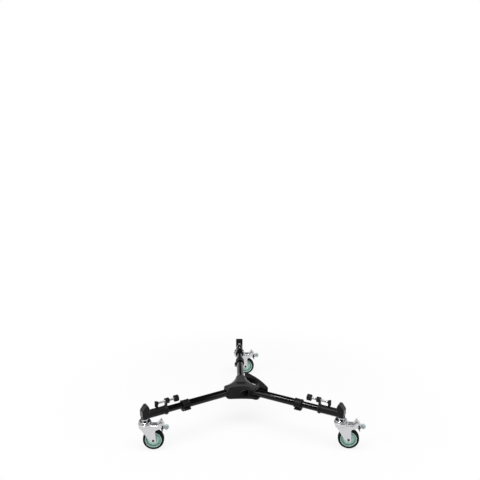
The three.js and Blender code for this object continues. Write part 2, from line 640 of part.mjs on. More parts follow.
function forkGeometry() {
  const cupRadius = fork.cupDia / 2;
  const drawnCup = turned([
    [0, cupBottom], [fork.cupFootDia / 2, cupBottom], [cupRadius, plateTop - fork.sheet], [cupRadius, rimTop - fork.sheet / 2],
    [cupRadius - fork.sheet / 2, rimTop], [0, rimTop],
  ], sides.tube);
  const plateEnd = axleX + fork.horn[fork.horn.length - 1][0];
  const plate = block(0, plateEnd, -forkHalf, forkHalf, plateTop - fork.dropWall, plateTop);
  const cheekSpan = fork.inside / 2 + fork.sheet / 2;
  const cheeks = [-cheekSpan, cheekSpan].map(offset => sideways(cheekShape(), fork.sheet).translate(0, offset, 0));
  const [pivotX, pivotZ] = pivotPlace;
  const brakePin = alongY(rod(brake.pinDia / 2, -forkHalf + overrun / 2, forkHalf - overrun / 2, sides.pin)).translate(pivotX, 0, pivotZ);
  const axleHole = alongY(rod(axle.dia / 2 + gap, -forkHalf - overrun, forkHalf + overrun, sides.pin)).translate(axleX, 0, axleHeight);
  const shaftHole = rod(swivel.shaftDia / 2 + runningGap, cupBottom - overrun, rimTop + overrun, sides.tube);
  return cut(join(drawnCup, plate, ...cheeks, brakePin), axleHole, shaftHole);
}

function axleGeometry() {
  const seat = forkHalf + gap;
  const head = seat + axle.headHeight;
  const profile = [
    [0, -head], [axle.headDia / 2, -head], [axle.headDia / 2, -seat], [axle.dia / 2, -seat],
    [axle.dia / 2, seat], [axle.headDia / 2, seat], [axle.headDia / 2, head], [0, head],
  ];
  return alongY(turned(profile, sides.pin)).translate(axleX, 0, axleHeight);
}

function tyreGeometry() {
  const [radius, half, round] = [wheelDia / 2, tyre.width / 2, tyre.shoulder];
  const inner = radius - tyre.depth;
  const profile = [
    [inner, -half], [radius - round, -half], [radius, -half + round], [radius, half - round], [radius - round, half],
    [inner, half], [inner, -half],
  ];
  return alongY(turned(profile, sides.tyre)).translate(axleX, 0, axleHeight);
}

function coreGeometry() {
  const rim = wheelDia / 2 - tyre.depth - gap;
  const bore = axle.dia / 2 + runningGap;
  const bossHalf = fork.inside / 2 - gap;
  const side = [
    [rim, core.rimWidth / 2], [rim - core.rimWall, core.rimWidth / 2], [core.ringDia / 2, core.webWidth / 2],
    [core.bossDia / 2, core.webWidth / 2], [core.bossDia / 2, bossHalf], [bore, bossHalf],
  ];
  const mirrored = side.map(([radius, height]) => [radius, -height]).reverse();
  return alongY(turned([...side, ...mirrored, side[0]], sides.tyre)).translate(axleX, 0, axleHeight);
}

// The brake: a roof of bent sheet on a barrel round the pin, with a shoe above the tread
function brakeGeometry() {
  const [pivotX, pivotZ] = pivotPlace;
  const outline = (places, width) => sideways(shapeOf(places.map(fromPivot)), width);
  const roof = outline(brake.tab, brake.width);
  const shoe = outline(brake.shoe, brake.shoeWidth);
  const stalk = outline(brake.stalk, brake.shoeWidth);
  const brace = outline([[-brake.sheet, 0], [brake.sheet, 0], [brake.tab[2][0] + brake.sheet, brake.tab[2][1]], brake.tab[2]], brake.shoeWidth);
  const barrelRadius = brake.pinDia / 2 + runningGap + brake.barrelWall;
  const barrel = alongY(rod(barrelRadius, -brake.width / 2, brake.width / 2, sides.pin)).translate(pivotX, 0, pivotZ);
  const bore = alongY(rod(brake.pinDia / 2 + runningGap, -brake.width, brake.width, sides.pin)).translate(pivotX, 0, pivotZ);
  return cut(join(roof, barrel, stalk, shoe, brace), bore);
}

function pedalGeometry() {
  const radius = brake.padDia / 2;
  const [x, z] = fromPivot(brake.padPlace);
  const half = brake.padWidth / 2;
  const body = alongY(turned([
    [0, -half], [radius - brake.padWall, -half], [radius, -half + brake.padWall],
    [radius, half - brake.padWall], [radius - brake.padWall, half], [0, half],
  ], sides.round)).translate(x, 0, z);
  const [edgeX, edgeZ] = fromPivot(brake.tab[5]);
  const room = block(edgeX - radius, edgeX + gap, -brake.width, brake.width, edgeZ - gap, edgeZ + radius * 2);
  return cut(body, room);
}

function casterOf(arm) {
  const group = new THREE.Group();
  group.position.set(stemAlong, 0, 0);
  group.rotation.z = THREE.MathUtils.degToRad(arm.headingDeg - arm.angleDeg);
  group.add(part(`caster_fork_${arm.name}`, forkGeometry(), zinc));
  group.add(part(`axle_bolt_${arm.name}`, axleGeometry(), steel));
  group.add(part(`tyre_${arm.name}`, tyreGeometry(), rubber));
  group.add(part(`wheel_core_${arm.name}`, coreGeometry(), wheelGrey));
  const [pivotX, pivotZ] = pivotPlace;
  const pressed = geometry => {
    const turned = geometry.translate(-pivotX, 0, -pivotZ).rotateY(THREE.MathUtils.degToRad(arm.brakeDeg));
    return turned.translate(pivotX, 0, pivotZ);
  };
  group.add(part(`brake_lever_${arm.name}`, pressed(brakeGeometry()), zinc));
  group.add(part(`brake_pedal_${arm.name}`, pressed(pedalGeometry()), pedalGrey));
  return group;
}

// What slides in and out with the arm's inner tube, from the start of the cup
function legOf(arm) {
  const group = new THREE.Group();
  group.position.x = cupStartOf(arm);
  group.add(part(`inner_tube_${arm.name}`, innerTubeGeometry(), tubeBlack));
  group.add(part(`leg_cup_${arm.name}`, legCupGeometry(), castBlack));
  group.add(part(`clamp_screw_${arm.name}`, clampScrewGeometry(), steel));
  group.add(part(`screw_knob_${arm.name}`, knobGeometry(), plasticBlack));
  group.add(part(`lock_nut_${arm.name}`, lockNutGeometry(), plasticBlack));
  group.add(part(`pressure_pad_${arm.name}`, padGeometry(), rubber));
  const stem = part(`caster_stem_${arm.name}`, stemGeometry(), zinc);
  stem.position.x = stemAlong;
  group.add(stem, casterOf(arm));
  return group;
}

function armOf(arm) {
  const group = new THREE.Group();
  group.rotation.z = THREE.MathUtils.degToRad(arm.angleDeg);
  group.add(part(`pivot_bolt_${arm.name}`, boltGeometry().translate(hub.pivotReach, 0, 0), steel));
  group.add(part(`arm_knuckle_${arm.name}`, knuckleGeometry(), castBlack));
  group.add(part(`outer_tube_${arm.name}`, outerTubeGeometry(), tubeBlack));
  group.add(part(`clamp_collar_${arm.name}`, collarGeometry(), plasticBlack));
  group.add(part(`lever_pin_${arm.name}`, leverPinGeometry(), steel));
  group.add(part(`clamp_lever_${arm.name}`, leverGeometry(), plasticBlack));
  group.add(legOf(arm));
  return group;
}

const dolly = new THREE.Group();
dolly.add(part('hub_top', hubTopGeometry(), castBlack));
dolly.add(part('hub_base', hubBaseGeometry(), castBlack));
dolly.add(part('carry_handle', handleGeometry(), plasticBlack));
arms.forEach(arm => dolly.add(armOf(arm)));

// The middle of the footprint becomes the origin
const whole = new THREE.Group();
whole.add(dolly);
whole.updateMatrixWorld(true);
const box = new THREE.Box3().setFromObject(whole, true);
const middle = box.getCenter(new THREE.Vector3());
dolly.position.set(-middle.x, -middle.y, -box.min.z);

export default whole;
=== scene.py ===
# The looks of a folding three-arm caster dolly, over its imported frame.
# Sizes are in millimetres. Most repeat those of the part, and a few follow the photograph more closely.
# Each piece is made in the plain frame of its arm, leg or caster, and its place turns it to metres in the
# part's own frame.
import json
import math
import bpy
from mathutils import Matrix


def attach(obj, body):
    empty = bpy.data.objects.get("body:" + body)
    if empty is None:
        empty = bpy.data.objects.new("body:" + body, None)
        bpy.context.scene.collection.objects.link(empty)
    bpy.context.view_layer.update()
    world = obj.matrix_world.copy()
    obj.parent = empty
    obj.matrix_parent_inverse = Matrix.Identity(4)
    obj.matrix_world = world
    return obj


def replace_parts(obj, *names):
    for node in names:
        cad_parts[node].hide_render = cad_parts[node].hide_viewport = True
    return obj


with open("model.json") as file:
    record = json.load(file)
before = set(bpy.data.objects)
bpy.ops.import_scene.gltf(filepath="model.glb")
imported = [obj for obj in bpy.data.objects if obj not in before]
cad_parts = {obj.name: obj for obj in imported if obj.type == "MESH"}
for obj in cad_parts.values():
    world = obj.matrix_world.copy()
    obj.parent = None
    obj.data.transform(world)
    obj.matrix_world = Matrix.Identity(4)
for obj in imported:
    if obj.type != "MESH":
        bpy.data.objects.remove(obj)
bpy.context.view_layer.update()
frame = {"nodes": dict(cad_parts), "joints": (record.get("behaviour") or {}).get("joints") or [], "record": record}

from types import SimpleNamespace as Sizes

import bmesh
import bpy
from mathutils import Matrix, Vector
from mathutils.geometry import interpolate_bezier

MM = 0.001
X_AXIS = Vector((1, 0, 0))
Y_AXIS = Vector((0, 1, 0))
UP = Vector((0, 0, 1))
FULL_TURN = math.radians(360)
QUARTER_TURN = math.radians(90)

# Steps of curves, and the angles past which an edge shows as an edge and past which it is a corner
ROUND_STEPS = 72
SMALL_STEPS = 32
ARC_STEPS = 20
FILLET_STEPS = 5
SOFT_STEPS = 2
CHAMFER_STEPS = 1
HEAD_SIDES = 6
SHARP_ANGLE = math.radians(38)
CORNER_ANGLE = math.radians(60)

# Settings of the operators, and how close points are welded and levels are told apart
ROUND_PROFILE = 0.5
SMOOTHING = 0.5
KEEP_MATERIAL = -1
SECOND_FINISH = 1
WELD = 0.01
LEVEL_DIGITS = 2

# The part of a socket's half width that its crown takes, how deep a flute is on its way round, and where a
# cubic curve's handles lie on a quadratic one's
ARCH_SHARE = 0.96
FLUTE_SHARES = (1, 0.85, 0.4, 0, 0, 0, 0.4, 0.85)
CUBIC_SHARE = 2 / 3

# Clearances of fitted and of moving pieces, and how far cuts run past what they cut
GAP = 0.3
RUNNING_GAP = 0.4
OVERRUN = 2

# Wheels and casters. An outline is places [behind, above] the axle, or the pin for the brake's, and a third
# number rounds a corner.
wheel = Sizes(dia=75)
tyre = Sizes(depth=7.8, width=22, shoulder=3.2, crown=0.5, bead=1.2, wall_dish=0.7, wall_edge=2.2, seam=0.35)
# The core's last two sizes bound the ring round the rim that is painted darker as shade.
core = Sizes(
    boss_dia=16, boss_fillet=1.2, web_width=7.5, ring_dia=44, rim_wall=3, rim_width=18, rim_fillet=0.9,
    disc_dia=38, disc_rise=3.2, disc_edge=1.2, step_dia=22, step=1.1, dust_from=21, dust_to=27,
)
axle = Sizes(dia=8, head_dia=9, head_height=1.4, head_fillet=1.1)
fork = Sizes(
    trail=28.6, inside=25, sheet=2.5, cup_dia=49, cup_foot_dia=40, cup_depth=9, rim_height=5.5, drop_wall=2.6,
    plate_rise=57.5, plate_back=16.5, bend=4.5, inner_bend=1.6, grain=0.62, softening=3,
    leg=(
        (-43.7, 45.6), (-38, 37.3), (-33.5, 30.2), (-24.5, 16.6), (-13.3, -0.6), (-5.4, -6.3),
        (8, -6.8), (10.4, -4.5), (7.6, 34), (9, 39), (13, 41),
    ),
    horn=((23, 44), (30.8, 49.6), (31.4, 65), (28, 68.2), (24, 67), (16.5, 57.5)),
    rivet_dia=6.5, rivet_height=0.9,
)
swivel = Sizes(
    shaft_dia=11.6, head_dia=18, head_height=3, race_dia=44, race_height=8.2, race_shoulder=1.8,
    collar_dia=24, collar_height=8.1, groove=1, groove_depth=1.8, fillet=0.7, neck_dia=21,
)
brake = Sizes(
    pin_dia=5, pivot=(27.4, 58.8), sheet=2.2, width=17, barrel_wall=1.6,
    roof=(
        (-13, 0.8), (-11.4, -0.9), (-1.9, 12.4, 1), (10.2, -1.8, 1), (10.6, -9), (12.8, -9), (12.4, -0.6, 1),
        (-1, 16, 1), (-3, 16, 1),
    ),
    shoe=((0.8, -13.5), (3.6, -13.8), (12.2, -27), (10.6, -28.4)),
    stalk=((-2.4, 0), (2.4, 0), (4.2, -15.6), (1, -15)),
    cheek=(
        (-11.4, -0.9), (-1.9, 12.4), (10.2, -1.8), (7.5, -3), (4.4, -3.6), (0, -4.4), (-4.4, -2.2), (-8, -3),
    ),
    # The inner outline is a web under the roof, in dark steel as painted shade of the lever's underside.
    inner=(
        (4.2, -3.4), (7.6, -3.2), (10.2, -2), (10.6, -9.2), (12.9, -9.6), (12.9, -16), (9.5, -18.5),
        (5.2, -13),
    ),
    inner_width=16, shoe_width=12, edge=0.5, pad_dia=17.4, pad_width=11, pad_place=(21.4, -9.2), pad_wall=1.2,
    roof_end=(12.8, -9), flutes=18, flute_depth=0.7, dish_dia=10.5, dish_depth=1.7,
)

# Tubes, and the clamp between them
tube = Sizes(
    outer_dia=27.6, outer_wall=1.5, outer_length=183, inner_dia=23.6, inner_wall=1.8, inner_hidden=165,
    lip=0.45, rivet_along=99.3, rivet_dia=5.2, rivet_height=1.1, rivet_clock_deg=62,
)
collar = Sizes(
    wall=2.5, length=29, overlap=20, nub_dia=6, nub_height=2, slit=2, ear_length=5, ear_dia=8.4,
    ear_reach=4.6, band=5, band_rise=0.9, edge=0.9, grain=0.6, softening=2,
)
lever = Sizes(
    length=27, thickness=5.4, lift=1, wrap_deg=68, start_deg=24, clock_deg=-30, pin_dia=4, barrel_wall=1.7,
    tip_flare=2.4, flare_power=4, edge=1.5, grain=0.55, softening=3, rib_count=4, rib_dia=1.6,
    rib_first_deg=24, rib_step_deg=9,
)

# Hub casting, base plate, carry handle and pivots
hub = Sizes(
    reach=67, ends=(3, 0, 4), half_width=18.6, corner=4, waist=38.5, top_thickness=9, bevel=4.5,
    plateau_waist=27, skirt_reach=68, skirt_half_width=19.4, skirt_waist=40.5, pivot_reach=46, sweep_deg=115,
    sweep_reach=66, grain=0.85, softening=3, angles=(90, 210, 330), badge_dia=38, badge_width=23,
    badge_depth=0.7,
)
base = Sizes(
    thickness=6, half_width=19, beyond_pivot=19.5, ends=(7.5, 0, 14), waist=43, corner=8, edge=1.2,
    rib_height=1.2, rib_width=2.5, rib_dia=30, rib_edge=0.4,
)
knuckle = Sizes(dia=26, spigot_length=24, edge=1.2)
bolt = Sizes(dia=8, head_dia=15, head_height=3.4, depth=5, edge=0.5, washer_dia=14.6, washer_height=0.8)
handle = Sizes(
    outer_reach=83, shoulder_drop=4, shoulder_lateral=50, tip_drop=20, tip_lateral=87, tip_spread=13,
    root_reach=54, root_lateral=58, inner_reach=34, height=24.6, top_drop=5, edge=6, grip_width=12,
    window_start=-13, window_lateral=48, tube_gap=1.5, foot_height=4, foot_reach=45.4, foot_lateral=48.5,
    foot_width=5, leg_depth=6, grain=0.9, softening=4, middle_deg=30,
)

# The cup that clamps one foot of what stands on the dolly, and its screw
cup = Sizes(
    barrel_wall=2.7, barrel_lift=1.2, length=97.5, flange_dia=34, flange_length=9, socket_depth=66,
    stem_setback=12.5, boss_dia=25, axis_rise=10.3, shaft_depth=14, skirt_wall=2, skirt_rise=9,
    pocket_gap=1.2, edge=1.4, grain=0.72, softening=3,
)
heel = Sizes(
    length=27, width=29, rise=38.5, top_length=9, shoulder_rise=22, shoulder_back=1.5, inner_taper=4,
    toe_back=3, toe_rise=9, chamfer=1.7,
)
post = Sizes(width=12, length=7.5, eye_dia=20, eye_length=9, edge=1, web_height=1.8, web_length=15)
screw = Sizes(rise=34, dia=8, length=73, knob_reach=34.5, pitch=2, tooth=0.65, tooth_share=0.42, point=1.2)
knob = Sizes(dia=23, length=16, seat=6.5, edge=1.4, flutes=18, flute_depth=0.55, dish_dia=14, dish_depth=0.8)
nut = Sizes(dia=20, length=6, flutes=8, flute_depth=1.1, edge=0.9)
pad = Sizes(
    width=18, above=6.5, below=15.5, corner=4, neck_dia=12, neck_length=3, length=7, edge=1.2,
    socket_depth=5, groove=1, groove_step=3.4, groove_count=5,
)

# Heights from the floor, and distances along an arm, a leg or a caster
axle_height = wheel.dia / 2
plate_top = axle_height + fork.plate_rise
rim_top = plate_top + fork.rim_height
cup_bottom = plate_top - fork.cup_depth
race_bottom = rim_top + RUNNING_GAP
collar_bottom = race_bottom + swivel.race_height
boss_bottom = collar_bottom + swivel.collar_height + GAP
barrel_radius = tube.inner_dia / 2 + GAP + cup.barrel_wall
axis_height = boss_bottom + cup.axis_rise
barrel_height = axis_height + cup.barrel_lift
slot_height = tube.outer_dia + RUNNING_GAP * 2
slot_bottom = axis_height - slot_height / 2
slot_top = axis_height + slot_height / 2
hub_top = slot_top + hub.top_thickness
screw_height = axis_height + screw.rise
screw_start = -screw.knob_reach
screw_end = screw_start + screw.length
screw_room = screw.dia / 2 + RUNNING_GAP
eye_face = post.length - post.eye_length
outer_start = hub.pivot_reach + knuckle.dia / 2 + GAP
outer_end = outer_start + tube.outer_length
collar_start = outer_end - collar.overlap
collar_end = collar_start + collar.length
stem_along = cup.length - cup.stem_setback
collar_radius = tube.outer_dia / 2 + GAP + collar.wall
lever_pin_reach = collar_radius + collar.ear_reach
lever_middle = collar_start + collar.length / 2
lever_clock = math.radians(lever.clock_deg)
fork_half = fork.inside / 2 + fork.sheet
pivot_x = fork.trail + brake.pivot[0]
pivot_z = axle_height + brake.pivot[1]

# The studio: lengths in metres, and tones as shares of white. A span is where a tone fades: in metres on
# the floor, and by direction in the surround.
floor_paint = Sizes(reach=9, colour="#e0e0e0", span=(0.42, 0.95), tones=(0.84, 1))
sky = Sizes(
    light=0.45, ahead_span=(-0.55, 0.05), ahead_tones=(0.1, 1), low_span=(0.2, 0.36), side_span=(0.16, 0.32),
    side_top=(0.6, 0.8), side_tones=(0, 1), ceiling_tones=(1, 0.06),
)
lamp_aim = (0, 0, 0.1)

# The photograph's camera, in metres in the part's frame
camera = Sizes(
    place=(-0.084138, -2.191681, 1.20105), lens=44.747, sensor=36,
    right=(0.99980856, -0.01879549, 0.00543768), up=(-0.00100439, 0.22824352, 0.97360356),
    ahead=(0.01954047, 0.97342264, -0.22818095),
)


# Forms: each is a bmesh in millimetres, and what uses one up gives back another

def wire(places, closed):
    """A line through [x, y] or [x, y, fillet] places, with its corners rounded."""
    form = bmesh.new()
    corners = [form.verts.new((place[0], place[1], 0)) for place in places]
    for first, second in zip(corners, corners[1:]):
        form.edges.new((first, second))
    if closed:
        form.edges.new((corners[-1], corners[0]))
    rounding = {}
    for corner, place in zip(corners, places):
        if len(place) > 2 and place[2] > 0:
            rounding.setdefault(place[2], []).append(corner)
    for fillet, chosen in rounding.items():
        bmesh.ops.bevel(
            form, geom=chosen, offset=fillet, offset_type="OFFSET", affect="VERTICES",
            segments=FILLET_STEPS, profile=ROUND_PROFILE, material=KEEP_MATERIAL,
        )
    return form


def tidy(form):
    bmesh.ops.remove_doubles(form, verts=form.verts, dist=WELD)
    bmesh.ops.recalc_face_normals(form, faces=form.faces)
    return form


def swept(form, axis, angle, steps, **settings):
    """Draws a whole form round an axis through the origin."""
    every = form.verts[:] + form.edges[:] + form.faces[:]
    bmesh.ops.spin(
        form, geom=every, cent=(0, 0, 0), axis=axis, angle=angle, steps=steps, use_duplicate=False,
        **settings,
    )
    return form


def turned(profile, closed=False, steps=ROUND_STEPS):
    """A profile of [along, radius] places turned round the X axis."""
    return tidy(swept(wire(profile, closed), X_AXIS, FULL_TURN, steps, use_merge=True))


def rod(radius, start, end, fillet=0, steps=ROUND_STEPS):
    return turned([(start, 0), (start, radius, fillet), (end, radius, fillet), (end, 0)], steps=steps)


def pipe(outer, inner, start, end, fillet=0, steps=ROUND_STEPS):
    bore, rim = (inner, fillet / 2), (outer, fillet)
    return turned([(start, *bore), (start, *rim), (end, *rim), (end, *bore)], closed=True, steps=steps)


def moved(form, matrix):
    bmesh.ops.transform(form, matrix=matrix, verts=form.verts)
    return form


def at_height(form, height):
    return moved(form, Matrix.Translation(UP * height))


def at_reach(form, reach):
    return moved(form, Matrix.Translation(X_AXIS * reach))


def spun(form, angle):
    """Turns a form round the X axis."""
    return moved(form, Matrix.Rotation(angle, 4, X_AXIS))


def lying_along_y(form):
    """Turns a form from the X axis to the Y axis."""
    return moved(form, Matrix.Rotation(QUARTER_TURN, 4, UP))


def standing(form):
    """Turns a form from the X axis to the Z axis."""
    return moved(form, Matrix.Rotation(-QUARTER_TURN, 4, Y_AXIS))


def drawn_up(form, height):
    """A flat form drawn up along Z."""
    made = bmesh.ops.extrude_face_region(form, geom=form.faces[:])
    lifted = [part for part in made["geom"] if isinstance(part, bmesh.types.BMVert)]
    bmesh.ops.translate(form, verts=lifted, vec=UP * height)
    return tidy(form)


def plate(outline, low, high):
    flat = wire(outline, True)
    bmesh.ops.contextual_create(flat, geom=flat.edges)
    return at_height(drawn_up(flat, high - low), low)


def oblong(low, high, fillet):
    """The outline between two corners, with its own corners rounded."""
    return [(*place, fillet) for place in (low, (high[0], low[1]), high, (low[0], high[1]))]


def block(low, high):
    """A box from one corner to the other."""
    form = bmesh.new()
    bmesh.ops.create_cube(form, size=1)
    size = Vector(high) - Vector(low)
    middle = (Vector(high) + Vector(low)) / 2
    return moved(form, Matrix.Translation(middle) @ Matrix.Diagonal((*size, 1)))


def sideways(outline, width, offset=0):
    """A side view in X and Z, as wide as given round Y = offset."""
    form = plate(outline, -width / 2, width / 2)
    return moved(form, Matrix.Translation(Y_AXIS * offset) @ Matrix.Rotation(QUARTER_TURN, 4, X_AXIS))


def endways(outline, start, end):
    """An end view in Y and Z, drawn out along X."""
    form = plate(outline, start, end)
    return moved(form, Matrix(((0, 0, 1, 0), (1, 0, 0, 0), (0, 1, 0, 0), (0, 0, 0, 1))))


def chamfered(form, width, steps=CHAMFER_STEPS, least=SHARP_ANGLE):
    """Bevels the edges that are sharper than an angle."""
    sharp = [line for line in form.edges if line.is_manifold and line.calc_face_angle(0) > least]
    bmesh.ops.bevel(
        form, geom=sharp, offset=width, offset_type="OFFSET", affect="EDGES", segments=steps,
        profile=ROUND_PROFILE, clamp_overlap=True, material=KEEP_MATERIAL,
    )
    return tidy(form)


def mirrored(side):
    """The other half of a profile, from its middle outward."""
    return [(-place[0], *place[1:]) for place in reversed(side)]


def polar(reach, angle):
    return (reach * math.cos(angle), reach * math.sin(angle))


def second_finish(form, where=None):
    """Gives a form its second finish, or only the faces whose middle passes a test."""
    for face in form.faces:
        if where is None or where(face.calc_center_median()):
            face.material_index = SECOND_FINISH
    return form


def mesh_of(form, name="scratch"):
    mesh = bpy.data.meshes.new(name)
    form.to_mesh(mesh)
    return mesh


def linked(name, data):
    """An object in the scene, of a mesh, a lamp or a camera."""
    made = bpy.data.objects.new(name, data)
    bpy.context.scene.collection.objects.link(made)
    return made


def joined(*forms):
    whole = bmesh.new()
    for form in forms:
        scratch = mesh_of(form)
        form.free()
        whole.from_mesh(scratch)
        bpy.data.meshes.remove(scratch)
    return whole


def scratch_object(form):
    mesh = mesh_of(form)
    form.free()
    return linked("scratch", mesh)


def shaped(form, *steps):
    """What a form becomes under modifiers, each given as its kind and settings."""
    worked = scratch_object(form)
    for kind, settings in steps:
        step = worked.modifiers.new(kind, kind)
        for name, value in settings.items():
            setattr(step, name, value)
    result = worked.evaluated_get(bpy.context.evaluated_depsgraph_get())
    mesh = bpy.data.meshes.new_from_object(result)
    after = bmesh.new()
    after.from_mesh(mesh)
    bpy.data.meshes.remove(mesh)
    bpy.data.meshes.remove(worked.data)
    return after


def carved(form, *tools, operation="DIFFERENCE"):
    """A form cut by others, or kept only where they are."""
    cutters = [scratch_object(tool) for tool in tools]
    settings = {"operation": operation, "solver": "EXACT"}
    after = shaped(form, *[("BOOLEAN", {"object": cutter, **settings}) for cutter in cutters])
    for cutter in cutters:
        bpy.data.meshes.remove(cutter.data)
    return after


def cast(form, grain, softening):
    """Overlapping forms made one skin, with the small soft fillets of a casting or moulding."""
    return shaped(
        form,
        ("REMESH", {"mode": "VOXEL", "voxel_size": grain, "use_smooth_shade": True}),
        ("SMOOTH", {"factor": SMOOTHING, "iterations": softening}),
    )


def stacked(*levels):
    """Closed outlines of equal count, one above another, skinned and capped."""
    whole = joined(*levels)
    loops = {}
    for line in whole.edges:
        loops.setdefault(round(line.verts[0].co.z, LEVEL_DIGITS), []).append(line)
    heights = sorted(loops)
    for height in (heights[0], heights[-1]):
        bmesh.ops.contextual_create(whole, geom=loops[height])
    for low, high in zip(heights, heights[1:]):
        bmesh.ops.bridge_loops(whole, edges=loops[low] + loops[high])
    return tidy(whole)


def fluted(radius, depth, count, length, edge):
    """A grip: a round bar along X, from 0 to its length, with shallow flutes and rounded ends."""
    levels = []
    for step in range(FILLET_STEPS + 1):
        swing = QUARTER_TURN * step / FILLET_STEPS
        inset, rise = edge * (1 - math.sin(swing)), edge * (1 - math.cos(swing))
        levels += [(inset, rise), (inset, length - rise)]
    shares = FLUTE_SHARES * count
    loops = []
    for inset, height in sorted(levels, key=lambda level: level[1]):
        loop = bmesh.new()
        bmesh.ops.create_circle(loop, cap_ends=False, segments=len(shares), radius=radius - inset)
        for vert, share in zip(loop.verts, shares):
            vert.co *= 1 - depth * share / radius
            vert.co.z = height
        loops.append(loop)
    return moved(stacked(*loops), Matrix.Rotation(QUARTER_TURN, 4, Y_AXIS))


# Finishes

def linear(code):
    """An sRGB hex colour as linear light."""
    channels = [int(code[at:at + 2], 16) / 255 for at in (1, 3, 5)]
    return (*[c / 12.92 if c <= 0.04045 else ((c + 0.055) / 1.055) ** 2.4 for c in channels], 1)


def add_node(tree, kind, settings=None, inputs=None):
    """Adds a shader node, with its settings, and its inputs as values or as links from other nodes."""
    node = tree.nodes.new(f"ShaderNode{kind}")
    for name, value in (settings or {}).items():
        setattr(node, name, value)
    for socket, value in (inputs or {}).items():
        if isinstance(value, bpy.types.NodeSocket):
            tree.links.new(value, node.inputs[socket])
        else:
            node.inputs[socket].default_value = value
    return node


def node_tree(owner):
    """The node tree of a material or world, emptied."""
    owner.use_nodes = True
    owner.node_tree.nodes.clear()
    return owner.node_tree


def maths(tree, operation, *values):
    """What a math node makes of values, or of what other nodes give."""
    inputs = dict(enumerate(values))
    return add_node(tree, "Math", {"operation": operation}, inputs).outputs["Value"]


def ramp(tree, value, span, tones):
    """A soft step from one tone to the other as a value crosses a span."""
    settings = {"interpolation_type": "SMOOTHSTEP"}
    ends = {"From Min": span[0], "From Max": span[1], "To Min": tones[0], "To Max": tones[1]}
    return add_node(tree, "MapRange", settings, {"Value": value, **ends}).outputs["Result"]


def noise(tree, size, detail, roughness):
    """A noise pattern in the object's own space, whose size is in millimetres."""
    place = add_node(tree, "TexCoord").outputs["Object"]
    inputs = {"Vector": place, "Scale": 1 / (size * MM), "Detail": detail, "Roughness": roughness}
    return add_node(tree, "TexNoise", inputs=inputs).outputs["Fac"]


def surface(name, colours, patch, roughness, grit, relief, sockets):
    """A finish whose colour drifts between two tones over patches, with a fine grain in gloss and height.
    Patch, grit and relief are sizes in millimetres."""
    made = bpy.data.materials.new(name)
    tree = node_tree(made)
    drift = noise(tree, patch, detail=4, roughness=0.6)
    grain = noise(tree, grit, detail=3, roughness=0.55)
    tone = add_node(
        tree, "Mix", {"data_type": "RGBA"},
        {"Factor": drift, "A": linear(colours[0]), "B": linear(colours[1])},
    )
    least, most = roughness
    gloss = add_node(tree, "MapRange", inputs={"Value": grain, "To Min": least, "To Max": most})
    bump = add_node(tree, "Bump", inputs={"Height": grain, "Distance": relief * MM, "Strength": 1})
    shader = add_node(tree, "BsdfPrincipled", inputs={
        "Base Color": tone.outputs["Result"], "Roughness": gloss.outputs["Result"],
        "Normal": bump.outputs["Normal"], **sockets,
    })
    add_node(tree, "OutputMaterial", inputs={"Surface": shader.outputs["BSDF"]})
    return made


# Die-cast aluminium under a satin black powder coat: even near-black, a broad dull sheen, fine orange peel
powder_coat = surface(
    "powder coated die-cast aluminium", ("#060607", "#0b0b0c"), 14, (0.42, 0.56), 0.9, 0.02,
    {"IOR": 1.5, "Specular IOR Level": 0.14, "Sheen Weight": 0.75, "Sheen Roughness": 0.35},
)
# Drawn aluminium tube under gloss black lacquer: a mirror-like line of light along it, faint draw marks
tube_lacquer = surface(
    "gloss black lacquered aluminium tube", ("#030304", "#050506"), 30, (0.12, 0.2), 3, 0.004,
    {"IOR": 1.5, "Specular IOR Level": 0.22},
)
# Glass-filled nylon, moulded: grey-black, dull, with the fine texture of a spark-eroded mould
black_nylon = surface(
    "moulded glass-filled nylon", ("#0a0a0b", "#101011"), 9, (0.4, 0.56), 0.7, 0.025,
    {"IOR": 1.53, "Specular IOR Level": 0.12},
)
# Bright zinc plate on pressed steel: pale, nearly white metal, a little cloudy
zinc_plate = surface(
    "bright zinc plated pressed steel", ("#cbcbce", "#d8d8da"), 11, (0.26, 0.4), 2.2, 0.006, {"Metallic": 1},
)
# Chromed turned steel: a clear mirror, with faint lathe rings
chrome = surface(
    "chromed turned steel", ("#b4b5b8", "#c6c7c9"), 18, (0.08, 0.16), 1.6, 0.003, {"Metallic": 1},
)
# Turned mild steel of the screws and rivets: mid grey metal with a soft shine
bare_steel = surface(
    "turned mild steel", ("#b2b3b4", "#c6c7c8"), 6, (0.24, 0.36), 0.8, 0.008, {"Metallic": 1},
)
# Black oxide on the axle and bolts: dark metal with a low shine. The same finish is painted shade in the swivel's
# groove and neck and in the web under the brake's roof.
dark_steel_and_shade = surface(
    "black oxide steel and painted shade", ("#3a3b3d", "#4a4b4d"), 5, (0.3, 0.45), 0.8, 0.01, {"Metallic": 1},
)
# Moulded rubber of the tyres: soft black, slightly dusty, no clear reflections
tyre_rubber = surface(
    "moulded tyre rubber", ("#070808", "#0e0f0f"), 7, (0.62, 0.8), 0.8, 0.04,
    {"IOR": 1.52, "Specular IOR Level": 0.12},
)
# Moulded rubber of the pads: the same soft black, a little cleaner and smoother
pad_rubber = surface(
    "moulded pad rubber", ("#0b0c0d", "#121314"), 5, (0.6, 0.75), 0.6, 0.03,
    {"IOR": 1.52, "Specular IOR Level": 0.12},
)
# Polypropylene of the wheel cores: pale grey-green, waxy, with slight flow marks
wheel_plastic = surface(
    "moulded polypropylene wheel", ("#a3c8bd", "#b0d1c7"), 8, (0.38, 0.5), 1.2, 0.012,
    {"IOR": 1.49, "Subsurface Weight": 0.05, "Subsurface Radius": (0.004, 0.004, 0.004)},
)
# The same plastic in the ring round the rim, duller and darker: painted shade in the recess
painted_shade_plastic = surface(
    "polypropylene recess with painted shade", ("#648a7e", "#789f93"), 5, (0.6, 0.75), 0.9, 0.03, {"IOR": 1.49},
)
